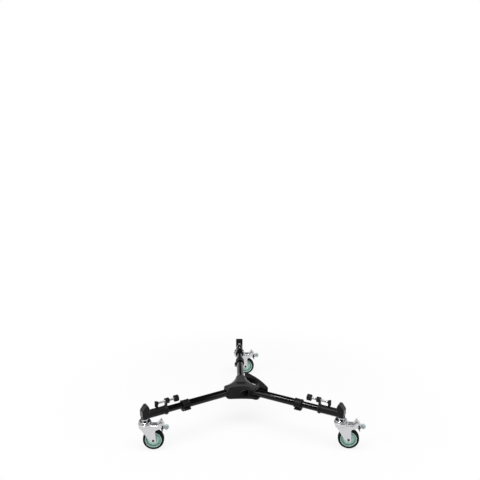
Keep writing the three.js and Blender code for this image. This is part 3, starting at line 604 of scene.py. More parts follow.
# ABS of the brake pedals: pale grey with a little teal, satin
pedal_plastic = surface(
    "moulded ABS pedal", ("#9fb0ad", "#b2bfbc"), 6, (0.36, 0.48), 0.9, 0.015, {"IOR": 1.53},
)


# Places

arms = ("rear", "left", "right")
joints = {joint["name"]: joint for joint in frame["joints"]}
body_of = {node: body for body, nodes in frame["record"]["behaviour"]["bodies"].items() for node in nodes}


def arm_axis(arm):
    return Vector(joints[f"leg_{arm}_slide"]["axis"])


def place_at(origin, forward):
    """From millimetres ahead, to the left and up, to metres in the part's frame."""
    ahead = Vector(forward).normalized()
    turned_axes = Matrix((ahead, UP.cross(ahead), UP)).transposed().to_4x4()
    return Matrix.Translation((origin[0], origin[1], 0)) @ turned_axes @ Matrix.Scale(MM, 4)


hub_centre = Vector(joints["fold_rear"]["pos_m"]) - arm_axis("rear") * hub.pivot_reach * MM
hub_place = place_at(hub_centre, X_AXIS)
handle_turn = Matrix.Rotation(math.radians(handle.middle_deg), 4, UP)


def arm_place(arm):
    return place_at(hub_centre, arm_axis(arm))


def leg_place(arm):
    return place_at(joints[f"screw_{arm}_spin"]["pos_m"], arm_axis(arm))


def stem_place(arm):
    return place_at(joints[f"swivel_{arm}"]["pos_m"], arm_axis(arm))


def caster_place(arm):
    side = Vector(joints[f"wheel_{arm}_roll"]["axis"])
    return place_at(joints[f"swivel_{arm}"]["pos_m"], side.cross(UP))


def brake_place(arm):
    """The caster's place, with the brake turned as far as it is pressed at rest."""
    pressed = -math.radians(joints[f"brake_{arm}_press"]["range_deg"][0])
    pin = Matrix.Translation((pivot_x, 0, pivot_z))
    return caster_place(arm) @ pin @ Matrix.Rotation(pressed, 4, Y_AXIS) @ pin.inverted()


def shown(name, form, place, body, slot, *finishes):
    """Makes a form an object on a body. Faces pick their finish by its number."""
    mesh = mesh_of(form, name)
    mesh.transform(place)
    mesh.shade_smooth()
    mesh.set_sharp_from_angle(angle=SHARP_ANGLE)
    for finish in finishes:
        mesh.materials.append(finish)
    made = linked(name, mesh)
    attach(made, body)
    return made


def put(node, form, place, slot, *finishes):
    """Stands a form in for a CAD node, on the node's body."""
    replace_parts(shown(f"{node}_shown", form, place, body_of[node], slot, *finishes), node)


# Hub and handle

def star(reach, ends, half_width, waist, corner, height):
    """The hub's three-pointed outline at a height: cut corners at the ends, and an arc from end to end."""
    form = bmesh.new()
    between = FULL_TURN / len(hub.angles) / 2
    arc_reach = reach - corner
    corner_along = arc_reach * math.cos(between) + half_width * math.sin(between)
    half_chord = arc_reach * math.sin(between) - half_width * math.cos(between)
    sagitta = corner_along - waist
    radius = (half_chord ** 2 + sagitta ** 2) / (2 * sagitta)
    half_arc = math.asin(half_chord / radius)
    for end_deg, extra in zip(hub.angles, ends):
        turn = Matrix.Rotation(math.radians(end_deg), 4, UP)
        far = reach + extra
        places = [(far, -half_width + corner), (far, half_width - corner)]
        if extra > 0:
            places = [(far - corner, -half_width), *places, (far - corner, half_width)]
        places = [(arc_reach, -half_width), *places, (arc_reach, half_width)]
        line = [form.verts.new(turn @ Vector((along, across, height))) for along, across in places]
        for first, second in zip(line, line[1:]):
            form.edges.new((first, second))
        middle = Matrix.Rotation(math.radians(end_deg) + between, 4, UP) @ Vector((waist + radius, 0, height))
        bmesh.ops.spin(
            form, geom=[line[-1]], cent=middle, axis=UP, angle=-half_arc * 2, steps=ARC_STEPS,
            use_merge=False, use_duplicate=False,
        )
    bmesh.ops.remove_doubles(form, verts=form.verts, dist=WELD)
    return form


def at_pivot(form):
    return at_reach(form, hub.pivot_reach)


def swing_room(sign):
    """The room in which an arm folds, round its pivot and in the arm's own frame."""
    half = tube.outer_dia / 2 + RUNNING_GAP
    low = slot_bottom - OVERRUN
    swing = math.radians(hub.sweep_deg) * sign
    sector = swept(wire([(0, 0), (hub.sweep_reach, 0)], False), UP, swing, ARC_STEPS, use_merge=False)
    bmesh.ops.remove_doubles(sector, verts=sector.verts, dist=WELD)
    bmesh.ops.dissolve_faces(sector, faces=sector.faces[:])
    wedge = at_height(drawn_up(sector, slot_top - low), low)
    straight = block((0, -half, low), (hub.sweep_reach, half, slot_top))
    fold_turn = Matrix.Rotation(swing, 4, UP)
    folded = moved(rod(half, 0, hub.sweep_reach), fold_turn @ Matrix.Translation(UP * axis_height))
    eye = standing(rod(half, low, slot_top))
    return [at_pivot(room) for room in (wedge, straight, folded, eye)]


def fixed_room():
    """The fixed arm's socket, open below so that its root drops in."""
    half = tube.outer_dia / 2 + RUNNING_GAP
    far = hub.pivot_reach + hub.sweep_reach
    low = slot_bottom - OVERRUN
    crown = half * ARCH_SHARE
    section = [(-half, low), (half, low), (half, slot_top, crown), (-half, slot_top, crown)]
    return [endways(section, hub.pivot_reach, far), at_pivot(standing(rod(half, low, slot_top)))]


def arm_turn(arm):
    """What turns a form from an arm's frame to the hub's."""
    ahead = arm_axis(arm)
    return Matrix.Rotation(math.atan2(ahead.y, ahead.x), 4, UP)


def feet(clearance):
    """The handle's two feet, or with a clearance their notches in the hub's rim."""
    bottom = slot_bottom - (OVERRUN if clearance else 0)
    top = slot_bottom + handle.foot_height + clearance
    made = []
    for side in (-1, 1):
        near = side * (handle.foot_lateral - handle.foot_width / 2 - clearance)
        far = side * (handle.foot_lateral + handle.foot_width / 2 + clearance)
        low = (handle.foot_reach - clearance, min(near, far), bottom)
        high = (handle.root_reach + handle.leg_depth, max(near, far), top)
        made.append(moved(block(low, high), handle_turn))
    return made


def hub_casting():
    """The cast top: a plateau, a slope down to the lip, a skirt, and the rooms of the three arms."""
    edge = hub.bevel
    body = stacked(
        star(hub.skirt_reach, hub.ends, hub.skirt_half_width, hub.skirt_waist, hub.corner, slot_bottom),
        star(hub.reach, hub.ends, hub.half_width, hub.waist, hub.corner, hub_top - edge),
        star(hub.reach - edge / 2, hub.ends, hub.half_width - edge, hub.plateau_waist, hub.corner, hub_top),
    )
    rooms = []
    for arm, sign in (("rear", 1), ("left", 0), ("right", -1)):
        parts = swing_room(sign) if sign else fixed_room()
        rooms += [moved(part, arm_turn(arm)) for part in parts]
    badge = moved(
        standing(rod(hub.badge_dia / 2, hub_top - hub.badge_depth, hub_top + OVERRUN)),
        Matrix.Diagonal((1, hub.badge_width / hub.badge_dia, 1, 1)),
    )
    whole = cast(carved(body, *rooms, *feet(GAP)), hub.grain, hub.softening)

    def in_badge(middle):
        outward = math.hypot(middle.x / hub.badge_dia, middle.y / hub.badge_width) * 2
        return outward < 1 and middle.z > hub_top - hub.badge_depth * 2

    return second_finish(carved(whole, badge), in_badge)


def base_plate():
    """The plate under the hub, with a raised ring round each pivot."""
    high = slot_bottom - GAP
    low = high - base.thickness
    size = (hub.pivot_reach + base.beyond_pivot, base.ends, base.half_width, base.waist, base.corner)
    body = chamfered(stacked(star(*size, low), star(*size, high)), base.edge, FILLET_STEPS)
    outer = base.rib_dia / 2
    rings = []
    for arm in arms:
        ring = pipe(outer, outer - base.rib_width, low - base.rib_height, low + base.edge, base.rib_edge)
        rings.append(moved(standing(ring), arm_turn(arm) @ Matrix.Translation(X_AXIS * hub.pivot_reach)))
    return joined(body, *rings)


def handle_outline():
    """Half a bow of two curves, from a root round a tip and a shoulder to the front, and its mirror."""
    tip_reach = handle.outer_reach - handle.tip_drop
    shoulder_reach = handle.outer_reach - handle.shoulder_drop
    root = Vector((handle.root_reach, -handle.root_lateral))
    tip_in = Vector((tip_reach, -handle.tip_lateral))
    tip_out = Vector((tip_reach + handle.tip_spread, -handle.tip_lateral))
    shoulder = Vector((shoulder_reach, -handle.shoulder_lateral))
    front = Vector((handle.outer_reach, 0))
    bow = Vector((handle.outer_reach, -handle.shoulder_lateral / 2))
    bow_in, bow_out = shoulder.lerp(bow, CUBIC_SHARE), front.lerp(bow, CUBIC_SHARE)
    half = interpolate_bezier(root, tip_in, tip_out, shoulder, ARC_STEPS)
    half += interpolate_bezier(shoulder, bow_in, bow_out, front, ARC_STEPS)[1:]
    other = [Vector((place.x, -place.y)) for place in reversed(half[:-1])]
    inner = [Vector((handle.inner_reach, side * handle.root_lateral / 2)) for side in (1, -1)]
    return [tuple(place[:2]) for place in [*half, *other, *inner]]


def carry_handle():
    """A bowed grip with well rounded edges, held by two feet under the hub's rim."""
    high = hub_top - handle.top_drop
    low = high - handle.height
    window_end = handle.outer_reach - handle.grip_width
    window_reach = (window_end - handle.window_start) / 2
    window = moved(
        standing(rod(1, low - OVERRUN, high + OVERRUN)),
        Matrix.Translation(X_AXIS * (window_end - window_reach))
        @ Matrix.Diagonal((window_reach, handle.window_lateral, 1, 1)),
    )
    grip = carved(plate(handle_outline(), low, high), window)
    grip = chamfered(tidy(grip), handle.edge, FILLET_STEPS, CORNER_ANGLE)
    legs = []
    for side in (-1, 1):
        near = side * handle.foot_lateral - handle.foot_width / 2
        legs.append(block(
            (handle.foot_reach, near, slot_bottom),
            (handle.root_reach + handle.leg_depth, near + handle.foot_width, low + handle.edge * 2),
        ))
    whole = moved(joined(grip, *legs), handle_turn)
    skirt = (hub.skirt_reach + GAP, hub.ends, hub.skirt_half_width + GAP, hub.skirt_waist + GAP, hub.corner)
    hub_room = stacked(star(*skirt, slot_bottom - OVERRUN), star(*skirt, high + OVERRUN))
    tubes = [
        moved(
            rod(tube.outer_dia / 2 + handle.tube_gap, hub.pivot_reach, outer_end),
            arm_turn(arm) @ Matrix.Translation(UP * axis_height),
        )
        for arm in ("rear", "right")
    ]
    whole = cast(whole, handle.grain, handle.softening)
    return joined(carved(whole, hub_room, *tubes), *feet(0))


def pivot_bolt():
    """A hexagon head and washer under the base, and a shank up into the hub."""
    seat = slot_bottom - base.thickness - GAP * 2
    shank = rod(bolt.dia / 2, seat - bolt.head_height / 2, slot_top + bolt.depth, bolt.edge, SMALL_STEPS)
    washer = pipe(bolt.washer_dia / 2, bolt.dia / 2, seat - bolt.washer_height, seat, bolt.edge / 2)
    head = rod(bolt.head_dia / 2, seat - bolt.head_height, seat - bolt.washer_height, steps=HEAD_SIDES)
    return at_pivot(standing(joined(shank, washer, chamfered(head, bolt.edge, FILLET_STEPS))))


# Arms

def on_arm_axis(form):
    return at_height(form, axis_height)


def arm_knuckle():
    """The upright eye round the pivot, and the spigot in the tube."""
    half = slot_height / 2 - GAP
    bore = bolt.dia / 2 + RUNNING_GAP
    eye = pipe(knuckle.dia / 2, bore, axis_height - half, axis_height + half, knuckle.edge)
    radius = tube.outer_dia / 2 - tube.outer_wall - GAP
    spigot = rod(radius, hub.pivot_reach + bolt.dia, outer_start + knuckle.spigot_length, knuckle.edge)
    return joined(at_pivot(standing(eye)), on_arm_axis(spigot))


def tube_rivet():
    """A domed rivet head on the tube, near the hub."""
    radius = tube.outer_dia / 2
    top = radius + tube.rivet_height
    head = standing(rod(tube.rivet_dia / 2, radius - tube.rivet_height, top, tube.rivet_height, SMALL_STEPS))
    clock = Matrix.Rotation(math.radians(tube.rivet_clock_deg) - QUARTER_TURN, 4, X_AXIS)
    return moved(head, Matrix.Translation((tube.rivet_along, 0, axis_height)) @ clock)


def outer_tube():
    radius = tube.outer_dia / 2
    return on_arm_axis(pipe(radius, radius - tube.outer_wall, outer_start, outer_end, tube.lip))


def inner_tube():
    radius = tube.inner_dia / 2
    end = cup.socket_depth - GAP
    return on_arm_axis(pipe(radius, radius - tube.inner_wall, -tube.inner_hidden, end, tube.lip))


def about_lever_pin(form):
    """Moves a form from the arm's axis to the lever's pin."""
    return moved(form, Matrix.Rotation(lever_clock, 4, X_AXIS) @ Matrix.Translation(Y_AXIS * lever_pin_reach))


def lever_bore(start, end):
    """The room of the lever's pin."""
    return about_lever_pin(rod(lever.pin_dia / 2 + GAP, start - OVERRUN, end + OVERRUN, steps=SMALL_STEPS))


def clamp_collar():
    """A split sleeve with a band at each end, a stop on top, and two ears for the lever's pin."""
    edge = collar.edge
    rise = collar_radius + collar.band_rise
    foot = collar_radius - collar.wall
    bore, end_bore = tube.outer_dia / 2 + GAP, tube.inner_dia / 2 + RUNNING_GAP
    first, last = collar_start + collar.band, collar_end - collar.band
    sleeve = turned([
        (collar_start, bore), (collar_start, rise, edge), (first, rise, edge), (first + edge, collar_radius),
        (last - edge, collar_radius), (last, rise, edge), (collar_end, rise, edge), (collar_end, end_bore),
        (outer_end + GAP, end_bore), (outer_end + GAP, bore),
    ], closed=True)
    nub = standing(rod(collar.nub_dia / 2, foot, collar_radius + collar.nub_height, edge, SMALL_STEPS))
    inset = (lever.length - collar.ear_length) / 2
    half = collar.ear_dia / 2
    ears = []
    for offset in (-inset, inset):
        start = lever_middle + offset - collar.ear_length / 2
        end = start + collar.ear_length
        eye = moved(rod(half, start, end, edge, SMALL_STEPS), Matrix.Translation(Y_AXIS * lever_pin_reach))
        web = block((start, collar_radius - collar.wall / 2, -half), (end, lever_pin_reach, half))
        ears.append(spun(joined(eye, web), lever_clock))
    whole = cast(joined(sleeve, at_reach(nub, lever_middle), *ears), collar.grain, collar.softening)
    half = collar.slit / 2
    slit = block((outer_end + OVERRUN, 0, -half), (collar_end + OVERRUN, rise + OVERRUN, half))
    pin = lever_bore(collar_start, collar_end)
    return on_arm_axis(carved(whole, spun(slit, lever_clock), pin))


def clamp_lever():
    """A curved grip that hugs the collar from below, on a barrel round the pin."""
    near = collar_radius + lever.lift
    far = near + lever.thickness
    middle = near + lever.thickness / 2
    half = lever.length / 2
    start = lever_clock - math.radians(lever.start_deg)
    wrap = math.radians(lever.wrap_deg)
    section = wire(oblong((-half, near), (half, far), lever.edge), True)
    bmesh.ops.contextual_create(section, geom=section.edges)
    grip = tidy(swept(spun(section, start), X_AXIS, -wrap, ARC_STEPS, use_merge=False))
    for vert in grip.verts:
        swung = (start - math.atan2(vert.co.z, vert.co.y)) / wrap
        reach = math.hypot(vert.co.y, vert.co.z)
        vert.co.yz = vert.co.yz * (1 + lever.tip_flare * max(swung, 0) ** lever.flare_power / reach)
    ribs = []
    for count in range(lever.rib_count):
        angle = start - math.radians(lever.rib_first_deg + count * lever.rib_step_deg)
        rib = rod(lever.rib_dia / 2, -half + lever.edge, half - lever.edge, steps=SMALL_STEPS)
        ribs.append(moved(rib, Matrix.Rotation(angle, 4, X_AXIS) @ Matrix.Translation(Y_AXIS * far)))
    barrel_half = half - collar.ear_length - GAP
    barrel_reach = lever.pin_dia / 2 + GAP + lever.barrel_wall
    barrel = about_lever_pin(rod(barrel_reach, -barrel_half, barrel_half, steps=SMALL_STEPS))
    web = endways([
        polar(lever_pin_reach, lever_clock), polar(lever_pin_reach + barrel_reach, lever_clock),
        polar(far, start), polar(middle, start - wrap / ARC_STEPS), polar(near, start),
        polar(near, start + math.radians(lever.start_deg / 2)),
    ], -barrel_half, barrel_half)
    whole = cast(joined(grip, barrel, web, *ribs), lever.grain, lever.softening)
    return on_arm_axis(at_reach(carved(whole, lever_bore(-half, half)), lever_middle))


# Legs: from the start of the cup

def heel_outline():
    start = cup.length - heel.length
    top = axis_height + heel.rise
    shoulder = axis_height + heel.shoulder_rise
    return [
        (start, axis_height), (stem_along, boss_bottom), (cup.length - heel.toe_back, boss_bottom),
        (cup.length, boss_bottom + heel.toe_rise), (cup.length, shoulder - heel.shoulder_back),
        (cup.length - heel.shoulder_back, shoulder), (start + heel.inner_taper + heel.top_length, top),
        (start + heel.inner_taper, top), (start, top - heel.shoulder_rise / 2),
    ]


def on_screw_axis(form):
    return at_height(form, screw_height)


def leg_cup():
    """One casting: barrel, flange, screw post with its eye, heel and the boss over the caster."""
    inner = tube.inner_dia / 2 + GAP
    barrel = at_height(joined(
        pipe(barrel_radius, inner, 0, cup.socket_depth),
        rod(barrel_radius, cup.socket_depth, cup.length - heel.shoulder_back),
    ), barrel_height)
    flange = on_arm_axis(pipe(cup.flange_dia / 2, inner, 0, cup.flange_length, cup.edge))
    heel_block = chamfered(sideways(heel_outline(), heel.width), heel.chamfer)
    radius = cup.boss_dia / 2
    boss = at_reach(standing(turned([
        (boss_bottom, 0), (boss_bottom, radius + cup.skirt_wall, cup.edge),
        (boss_bottom + cup.skirt_rise, radius, cup.edge), (axis_height, radius), (axis_height, 0),
    ])), stem_along)
    low = axis_height + inner
    half = post.width / 2
    neck = chamfered(block((0, -half, low), (post.length, half, screw_height)), post.edge, SOFT_STEPS)
    crown = barrel_height + barrel_radius
    start, end = post.length / 2, post.length + post.web_length
    web = sideways([
        (start, low), (end, low), (end, crown - post.edge), (post.length, crown + post.web_height),
        (start, crown + post.web_height),
    ], half)
    eye = on_screw_axis(pipe(post.eye_dia / 2, screw_room, eye_face, post.length, post.edge))
    whole = cast(joined(barrel, flange, heel_block, boss, neck, web, eye), cup.grain, cup.softening)
    bore = on_arm_axis(rod(inner, -OVERRUN, cup.socket_depth))
    hole = on_screw_axis(rod(screw_room, -post.eye_length, post.length + OVERRUN))
    pocket = rod(swivel.collar_dia / 2 + cup.pocket_gap, boss_bottom - barrel_radius, boss_bottom)
    return carved(whole, bore, hole, at_reach(standing(pocket), stem_along))


def clamp_screw():
    """A threaded rod with a plain point."""
    root = screw.dia / 2 - screw.tooth
    shank = rod(root, screw_start + GAP, screw_end, screw.tooth, SMALL_STEPS)
    start = screw_start + knob.seat + GAP
    turns = int((screw_end - start - screw.point) / screw.pitch)
    half = screw.pitch * screw.tooth_share
    sunk = root - WELD * 2
    tooth = wire([(start, sunk), (start + half, screw.dia / 2), (start + half * 2, sunk)], True)
    steps = turns * SMALL_STEPS
    advance = X_AXIS * (turns * screw.pitch / steps)
    swept(tooth, X_AXIS, FULL_TURN * turns, steps, dvec=advance, use_merge=False)
    bmesh.ops.holes_fill(tooth, edges=[line for line in tooth.edges if line.is_boundary])
    bmesh.ops.recalc_face_normals(tooth, faces=tooth.faces)
    return on_screw_axis(joined(shank, tooth))


def screw_knob():
    """A short fluted grip with a shallow dish in its outer face."""
    start = screw_start + knob.seat - knob.length
    grip = at_reach(fluted(knob.dia / 2, knob.flute_depth, knob.flutes, knob.length, knob.edge), start)
    dish = rod(knob.dish_dia / 2, start - OVERRUN, start + knob.dish_depth)
    bore = rod(screw.dia / 2 + GAP, screw_start, start + knob.length + OVERRUN)
    return on_screw_axis(carved(grip, dish, bore))


def lock_nut():
    start = eye_face - GAP - nut.length
    grip = at_reach(fluted(nut.dia / 2, nut.flute_depth, nut.flutes, nut.length, nut.edge), start)
    bore = rod(screw_room, start - OVERRUN, start + nut.length + OVERRUN)
    return on_screw_axis(carved(grip, bore))


def pressure_pad():
    """A rounded rubber block with grooves across its face, on a round neck."""
    start = screw_end - pad.socket_depth + GAP
    face = start + pad.neck_length
    far = face + pad.length
    half = pad.width / 2
    wide = half + OVERRUN
    outline = oblong((-half, -pad.below), (half, pad.above), pad.corner)
    body = chamfered(endways(outline, face, far), pad.edge, FILLET_STEPS, CORNER_ANGLE)
    grooves = []
    for count in range(pad.groove_count):
        level = -pad.below + pad.corner + count * pad.groove_step
        grooves.append(block((far - pad.groove, -wide, level), (far + OVERRUN, wide, level + pad.groove)))
    neck = pipe(pad.neck_dia / 2, screw_room, start, face + pad.edge, pad.edge / 2)
    socket = rod(screw_room, start - OVERRUN, screw_end + GAP)
    return on_screw_axis(joined(carved(body, *grooves, socket), neck))


# Casters: in their own frame, with the swivel's axis as Z and the wheel behind along +X

def caster_stem():
    """The turned swivel: two race shells with a groove between, a collar, and the shaft; groove and neck are
    painted shade.
    """
    fillet = swivel.fillet
    race, shaft = swivel.race_dia / 2, swivel.shaft_dia / 2
    neck, rim = swivel.neck_dia / 2, swivel.collar_dia / 2
    middle = (race_bottom + collar_bottom) / 2
    groove = race - swivel.groove_depth
    groove_low, groove_high = middle - swivel.groove / 2, middle + swivel.groove / 2
    seat, neck_top, top = cup_bottom - GAP, collar_bottom + swivel.groove, boss_bottom - GAP
    form = turned([
        (seat - swivel.head_height, 0), (seat - swivel.head_height, swivel.head_dia / 2, fillet),
        (seat, swivel.head_dia / 2, fillet), (seat, shaft), (race_bottom, shaft), (race_bottom, race, fillet),
        (groove_low, race, fillet), (groove_low, groove), (groove_high, groove), (groove_high, race, fillet),
        (collar_bottom - swivel.race_shoulder, race, fillet),
        (collar_bottom, race - swivel.race_shoulder, fillet * 2), (collar_bottom, neck, fillet),
        (neck_top, neck, fillet / 2), (neck_top, rim, fillet), (top, rim, fillet), (top, shaft),
        (boss_bottom + cup.shaft_depth, shaft, fillet), (boss_bottom + cup.shaft_depth, 0),
    ])

    # The groove and the neck under the collar take the dark second finish: painted shade in these gaps.
    def in_painted_shade(place):
        inward = math.hypot(place.y, place.z) < race - fillet
        in_race = inward and abs(place.x - middle) < swivel.groove / 2 + GAP
        return in_race or collar_bottom + GAP < place.x < neck_top

    return standing(second_finish(form, in_painted_shade))


def from_axle(places):
    return [(fork.trail + place[0], axle_height + place[1], *place[2:]) for place in places]


def from_pivot(places):
    return [(pivot_x + place[0], pivot_z + place[1], *place[2:]) for place in places]


def cheek_outline():
    front = -fork.cup_foot_dia / 2
    return [(front, plate_top), (front, cup_bottom), *from_axle(fork.leg), *from_axle(fork.horn)]


def on_axle(form):
    return moved(lying_along_y(form), Matrix.Translation((fork.trail, 0, axle_height)))


def on_brake_pin(form):
    return moved(form, Matrix.Translation((pivot_x, 0, pivot_z)))


def caster_fork():
    """Pressed steel: a drawn cup, a bent channel and two cheeks that end in horns for the brake's pin."""
    half = fork_half
    plate_end = fork.trail + fork.plate_back
    inside = fork.inside / 2
    under = plate_top - fork.drop_wall
    channel = endways([
        (-half, 0), (-half, plate_top, fork.bend), (half, plate_top, fork.bend), (half, 0),
        (inside, 0), (inside, under, fork.inner_bend), (-inside, under, fork.inner_bend), (-inside, 0),
    ], -fork.cup_foot_dia / 2, plate_end)
    channel = carved(channel, sideways(cheek_outline(), fork.cup_dia), operation="INTERSECT")
    offset = fork.inside / 2 + fork.sheet / 2
    cheeks = joined(*[sideways(cheek_outline(), fork.sheet, side * offset) for side in (-1, 1)])
    corner = block(
        (-fork.cup_dia, -fork.cup_dia, plate_top - fork.bend - OVERRUN),
        (plate_end - GAP, fork.cup_dia, plate_top + OVERRUN),
    )
    cheeks = carved(cheeks, corner)
    radius = fork.cup_dia / 2
    drawn = standing(turned([
        (cup_bottom, 0), (cup_bottom, fork.cup_foot_dia / 2, fork.sheet),
        (plate_top - fork.sheet, radius, fork.sheet), (rim_top, radius, fork.sheet / 2), (rim_top, 0),
    ]))
    pin = lying_along_y(rod(brake.pin_dia / 2, -half + OVERRUN / 2, half - OVERRUN / 2, steps=SMALL_STEPS))
    whole = cast(joined(channel, cheeks, drawn, on_brake_pin(pin)), fork.grain, fork.softening)
    shaft = standing(rod(swivel.shaft_dia / 2 + RUNNING_GAP, cup_bottom - OVERRUN, rim_top + OVERRUN))
    hole = on_axle(rod(axle.dia / 2 + GAP, -half - OVERRUN, half + OVERRUN))
    rise = fork.rivet_height
    rivets = []
    for side in (-1, 1):
        head = lying_along_y(rod(fork.rivet_dia / 2, half - rise, half + rise, rise, SMALL_STEPS))
        rivets.append(on_brake_pin(moved(head, Matrix.Rotation(QUARTER_TURN * (1 - side), 4, UP))))
    return joined(carved(whole, shaft, hole), *rivets)


def axle_bolt():
    """A shaft with a riveted head at each end."""
    seat = fork_half + GAP
    head = seat + axle.head_height
    shaft, rim = axle.dia / 2, axle.head_dia / 2
    return on_axle(turned([
        (-head, 0), (-head, rim, axle.head_fillet), (-seat, rim), (-seat, shaft),
        (seat, shaft), (seat, rim), (head, rim, axle.head_fillet), (head, 0),
    ]))


def tyre_ring():
    """A slightly crowned tread with a fine mould seam, round shoulders and dished walls."""
    radius = wheel.dia / 2
    inner = radius - tyre.depth
    half = tyre.width / 2
    fillet = tyre.bead / 2
    dish = half - tyre.wall_dish
    side = [
        (half, inner, fillet), (half, inner + tyre.bead, fillet), (dish, inner + tyre.bead * 2, fillet),
        (dish, radius - tyre.shoulder - tyre.wall_edge / 2, fillet),
        (half, radius - tyre.shoulder, tyre.bead),
        (half - tyre.shoulder, radius - tyre.crown, tyre.shoulder / 2),
    ]
    seam = [(tyre.seam, radius - tyre.seam / 2), (0, radius), (-tyre.seam, radius - tyre.seam / 2)]
    return on_axle(turned([*side, *seam, *mirrored(side)], closed=True, steps=ROUND_STEPS * 2))


def wheel_core():
    """A moulded centre: a rim, a dished web, a raised disc and a long boss."""
    rim = wheel.dia / 2 - tyre.depth - GAP
    boss_half = fork.inside / 2 - GAP
    half = core.rim_width / 2
    web = core.web_width / 2
    disc, step, boss = web + core.disc_rise, core.step_dia / 2, core.boss_dia / 2
    soft = core.disc_edge / 2
    side = [
        (half, rim, core.rim_fillet / 2), (half, rim - core.rim_wall, core.rim_fillet),
        (web, core.ring_dia / 2 + core.disc_edge, core.rim_fillet), (web, core.disc_dia / 2 + soft),
        (disc, core.disc_dia / 2, soft), (disc, step, soft), (web, step - core.step),
        (web, boss, core.boss_fillet / 2), (boss_half, boss, core.boss_fillet),
        (boss_half, axle.dia / 2 + RUNNING_GAP),
    ]
    form = turned([*side, *mirrored(side)], closed=True, steps=ROUND_STEPS * 2)

    # The ring inside the rim takes the darker second finish as painted shade of the recess.
    def in_painted_shade_ring(middle):
        in_ring = core.dust_from < math.hypot(middle.y, middle.z) < core.dust_to
        return in_ring and abs(middle.x) < half - core.rim_fillet

    return on_axle(second_finish(form, in_painted_shade_ring))


def brake_form(outline, width, offset=0, steps=CHAMFER_STEPS, least=SHARP_ANGLE):
    """A piece of the brake from its side view, with its edges broken."""
    return chamfered(sideways(from_pivot(outline), width, offset), brake.edge, steps, least)


def brake_lever():
    """A roof of bent sheet on a barrel round the pin, with a shoe above the tread."""
    half = brake.width / 2
    offset = half - brake.sheet / 2
    roof = brake_form(brake.roof, brake.width, steps=SOFT_STEPS, least=CORNER_ANGLE)
    shoe = brake_form(brake.shoe, brake.shoe_width, steps=SOFT_STEPS)
    stalk = brake_form(brake.stalk, brake.shoe_width, steps=SOFT_STEPS)
    cheeks = [brake_form(brake.cheek, brake.sheet, side * offset) for side in (-1, 1)]
    inner = brake_form(brake.inner, brake.inner_width)
    reach = brake.pin_dia / 2 + RUNNING_GAP
    barrel = lying_along_y(pipe(reach + brake.barrel_wall, reach, -half, half, brake.edge, SMALL_STEPS))
    bore = lying_along_y(rod(reach, -brake.width, brake.width, steps=SMALL_STEPS))
    sheet = carved(roof, on_brake_pin(bore))
    # The web under the roof takes the dark second finish as painted shade of the lever's underside.
    return joined(sheet, *cheeks, stalk, second_finish(shoe), second_finish(inner), on_brake_pin(barrel))


def brake_pedal():
    """A fluted half-round pedal with a shallow dish in each side."""
    radius = brake.pad_dia / 2
    half = brake.pad_width / 2
    body = at_reach(fluted(radius, brake.flute_depth, brake.flutes, brake.pad_width, brake.pad_wall), -half)
    floor_at = half - brake.dish_depth
    ends = ((floor_at, half + OVERRUN), (-half - OVERRUN, -floor_at))
    dishes = [rod(brake.dish_dia / 2, start, end) for start, end in ends]
    body = lying_along_y(carved(body, *dishes))
    (x, z), (edge_x, edge_z) = from_pivot([brake.pad_place, brake.roof_end])
    room = block(
        (edge_x - radius, -brake.width, edge_z - GAP), (edge_x + GAP, brake.width, edge_z + radius * 2),
    )
    return carved(moved(body, Matrix.Translation((x, 0, z))), room)


# The whole dolly

put("hub_top", hub_casting(), hub_place, "cast", powder_coat, black_nylon)
put("hub_base", base_plate(), hub_place, "cast", powder_coat)
put("carry_handle", carry_handle(), hub_place, "black_plastic", black_nylon)

pieces = (
    ("pivot_bolt", pivot_bolt(), arm_place, "steel", dark_steel_and_shade),
    ("arm_knuckle", arm_knuckle(), arm_place, "cast", powder_coat),
    ("outer_tube", outer_tube(), arm_place, "tube", tube_lacquer),
    ("clamp_collar", clamp_collar(), arm_place, "black_plastic", black_nylon),
    ("clamp_lever", clamp_lever(), arm_place, "black_plastic", black_nylon),
    ("inner_tube", inner_tube(), leg_place, "tube", tube_lacquer),
    ("leg_cup", leg_cup(), leg_place, "cast", powder_coat),
    ("clamp_screw", clamp_screw(), leg_place, "steel", bare_steel),
    ("screw_knob", screw_knob(), leg_place, "black_plastic", black_nylon),
    ("lock_nut", lock_nut(), leg_place, "black_plastic", black_nylon),
    ("pressure_pad", pressure_pad(), leg_place, "pad_rubber", pad_rubber),
    ("caster_stem", caster_stem(), stem_place, "zinc", chrome, dark_steel_and_shade),
    ("caster_fork", caster_fork(), caster_place, "zinc", zinc_plate),
    ("axle_bolt", axle_bolt(), caster_place, "axle_steel", dark_steel_and_shade),
    ("tyre", tyre_ring(), caster_place, "tyre", tyre_rubber),
    ("wheel_core", wheel_core(), caster_place, "wheel_plastic", wheel_plastic, painted_shade_plastic),
    ("brake_lever", brake_lever(), brake_place, "zinc", zinc_plate, dark_steel_and_shade),
    ("brake_pedal", brake_pedal(), brake_place, "pedal_plastic", pedal_plastic),
)
for arm in arms:
    for kind, form, place, slot, *finishes in pieces:
        put(f"{kind}_{arm}", form, place(arm), slot, *finishes)
    for slot_at in frame["nodes"][f"lever_pin_{arm}"].material_slots:
        slot_at.material = bare_steel
shown("tube_rivet_rear", tube_rivet(), arm_place("rear"), body_of["outer_tube_rear"], "steel", bare_steel)


# Stage: a pale floor, a white surround and soft lamps

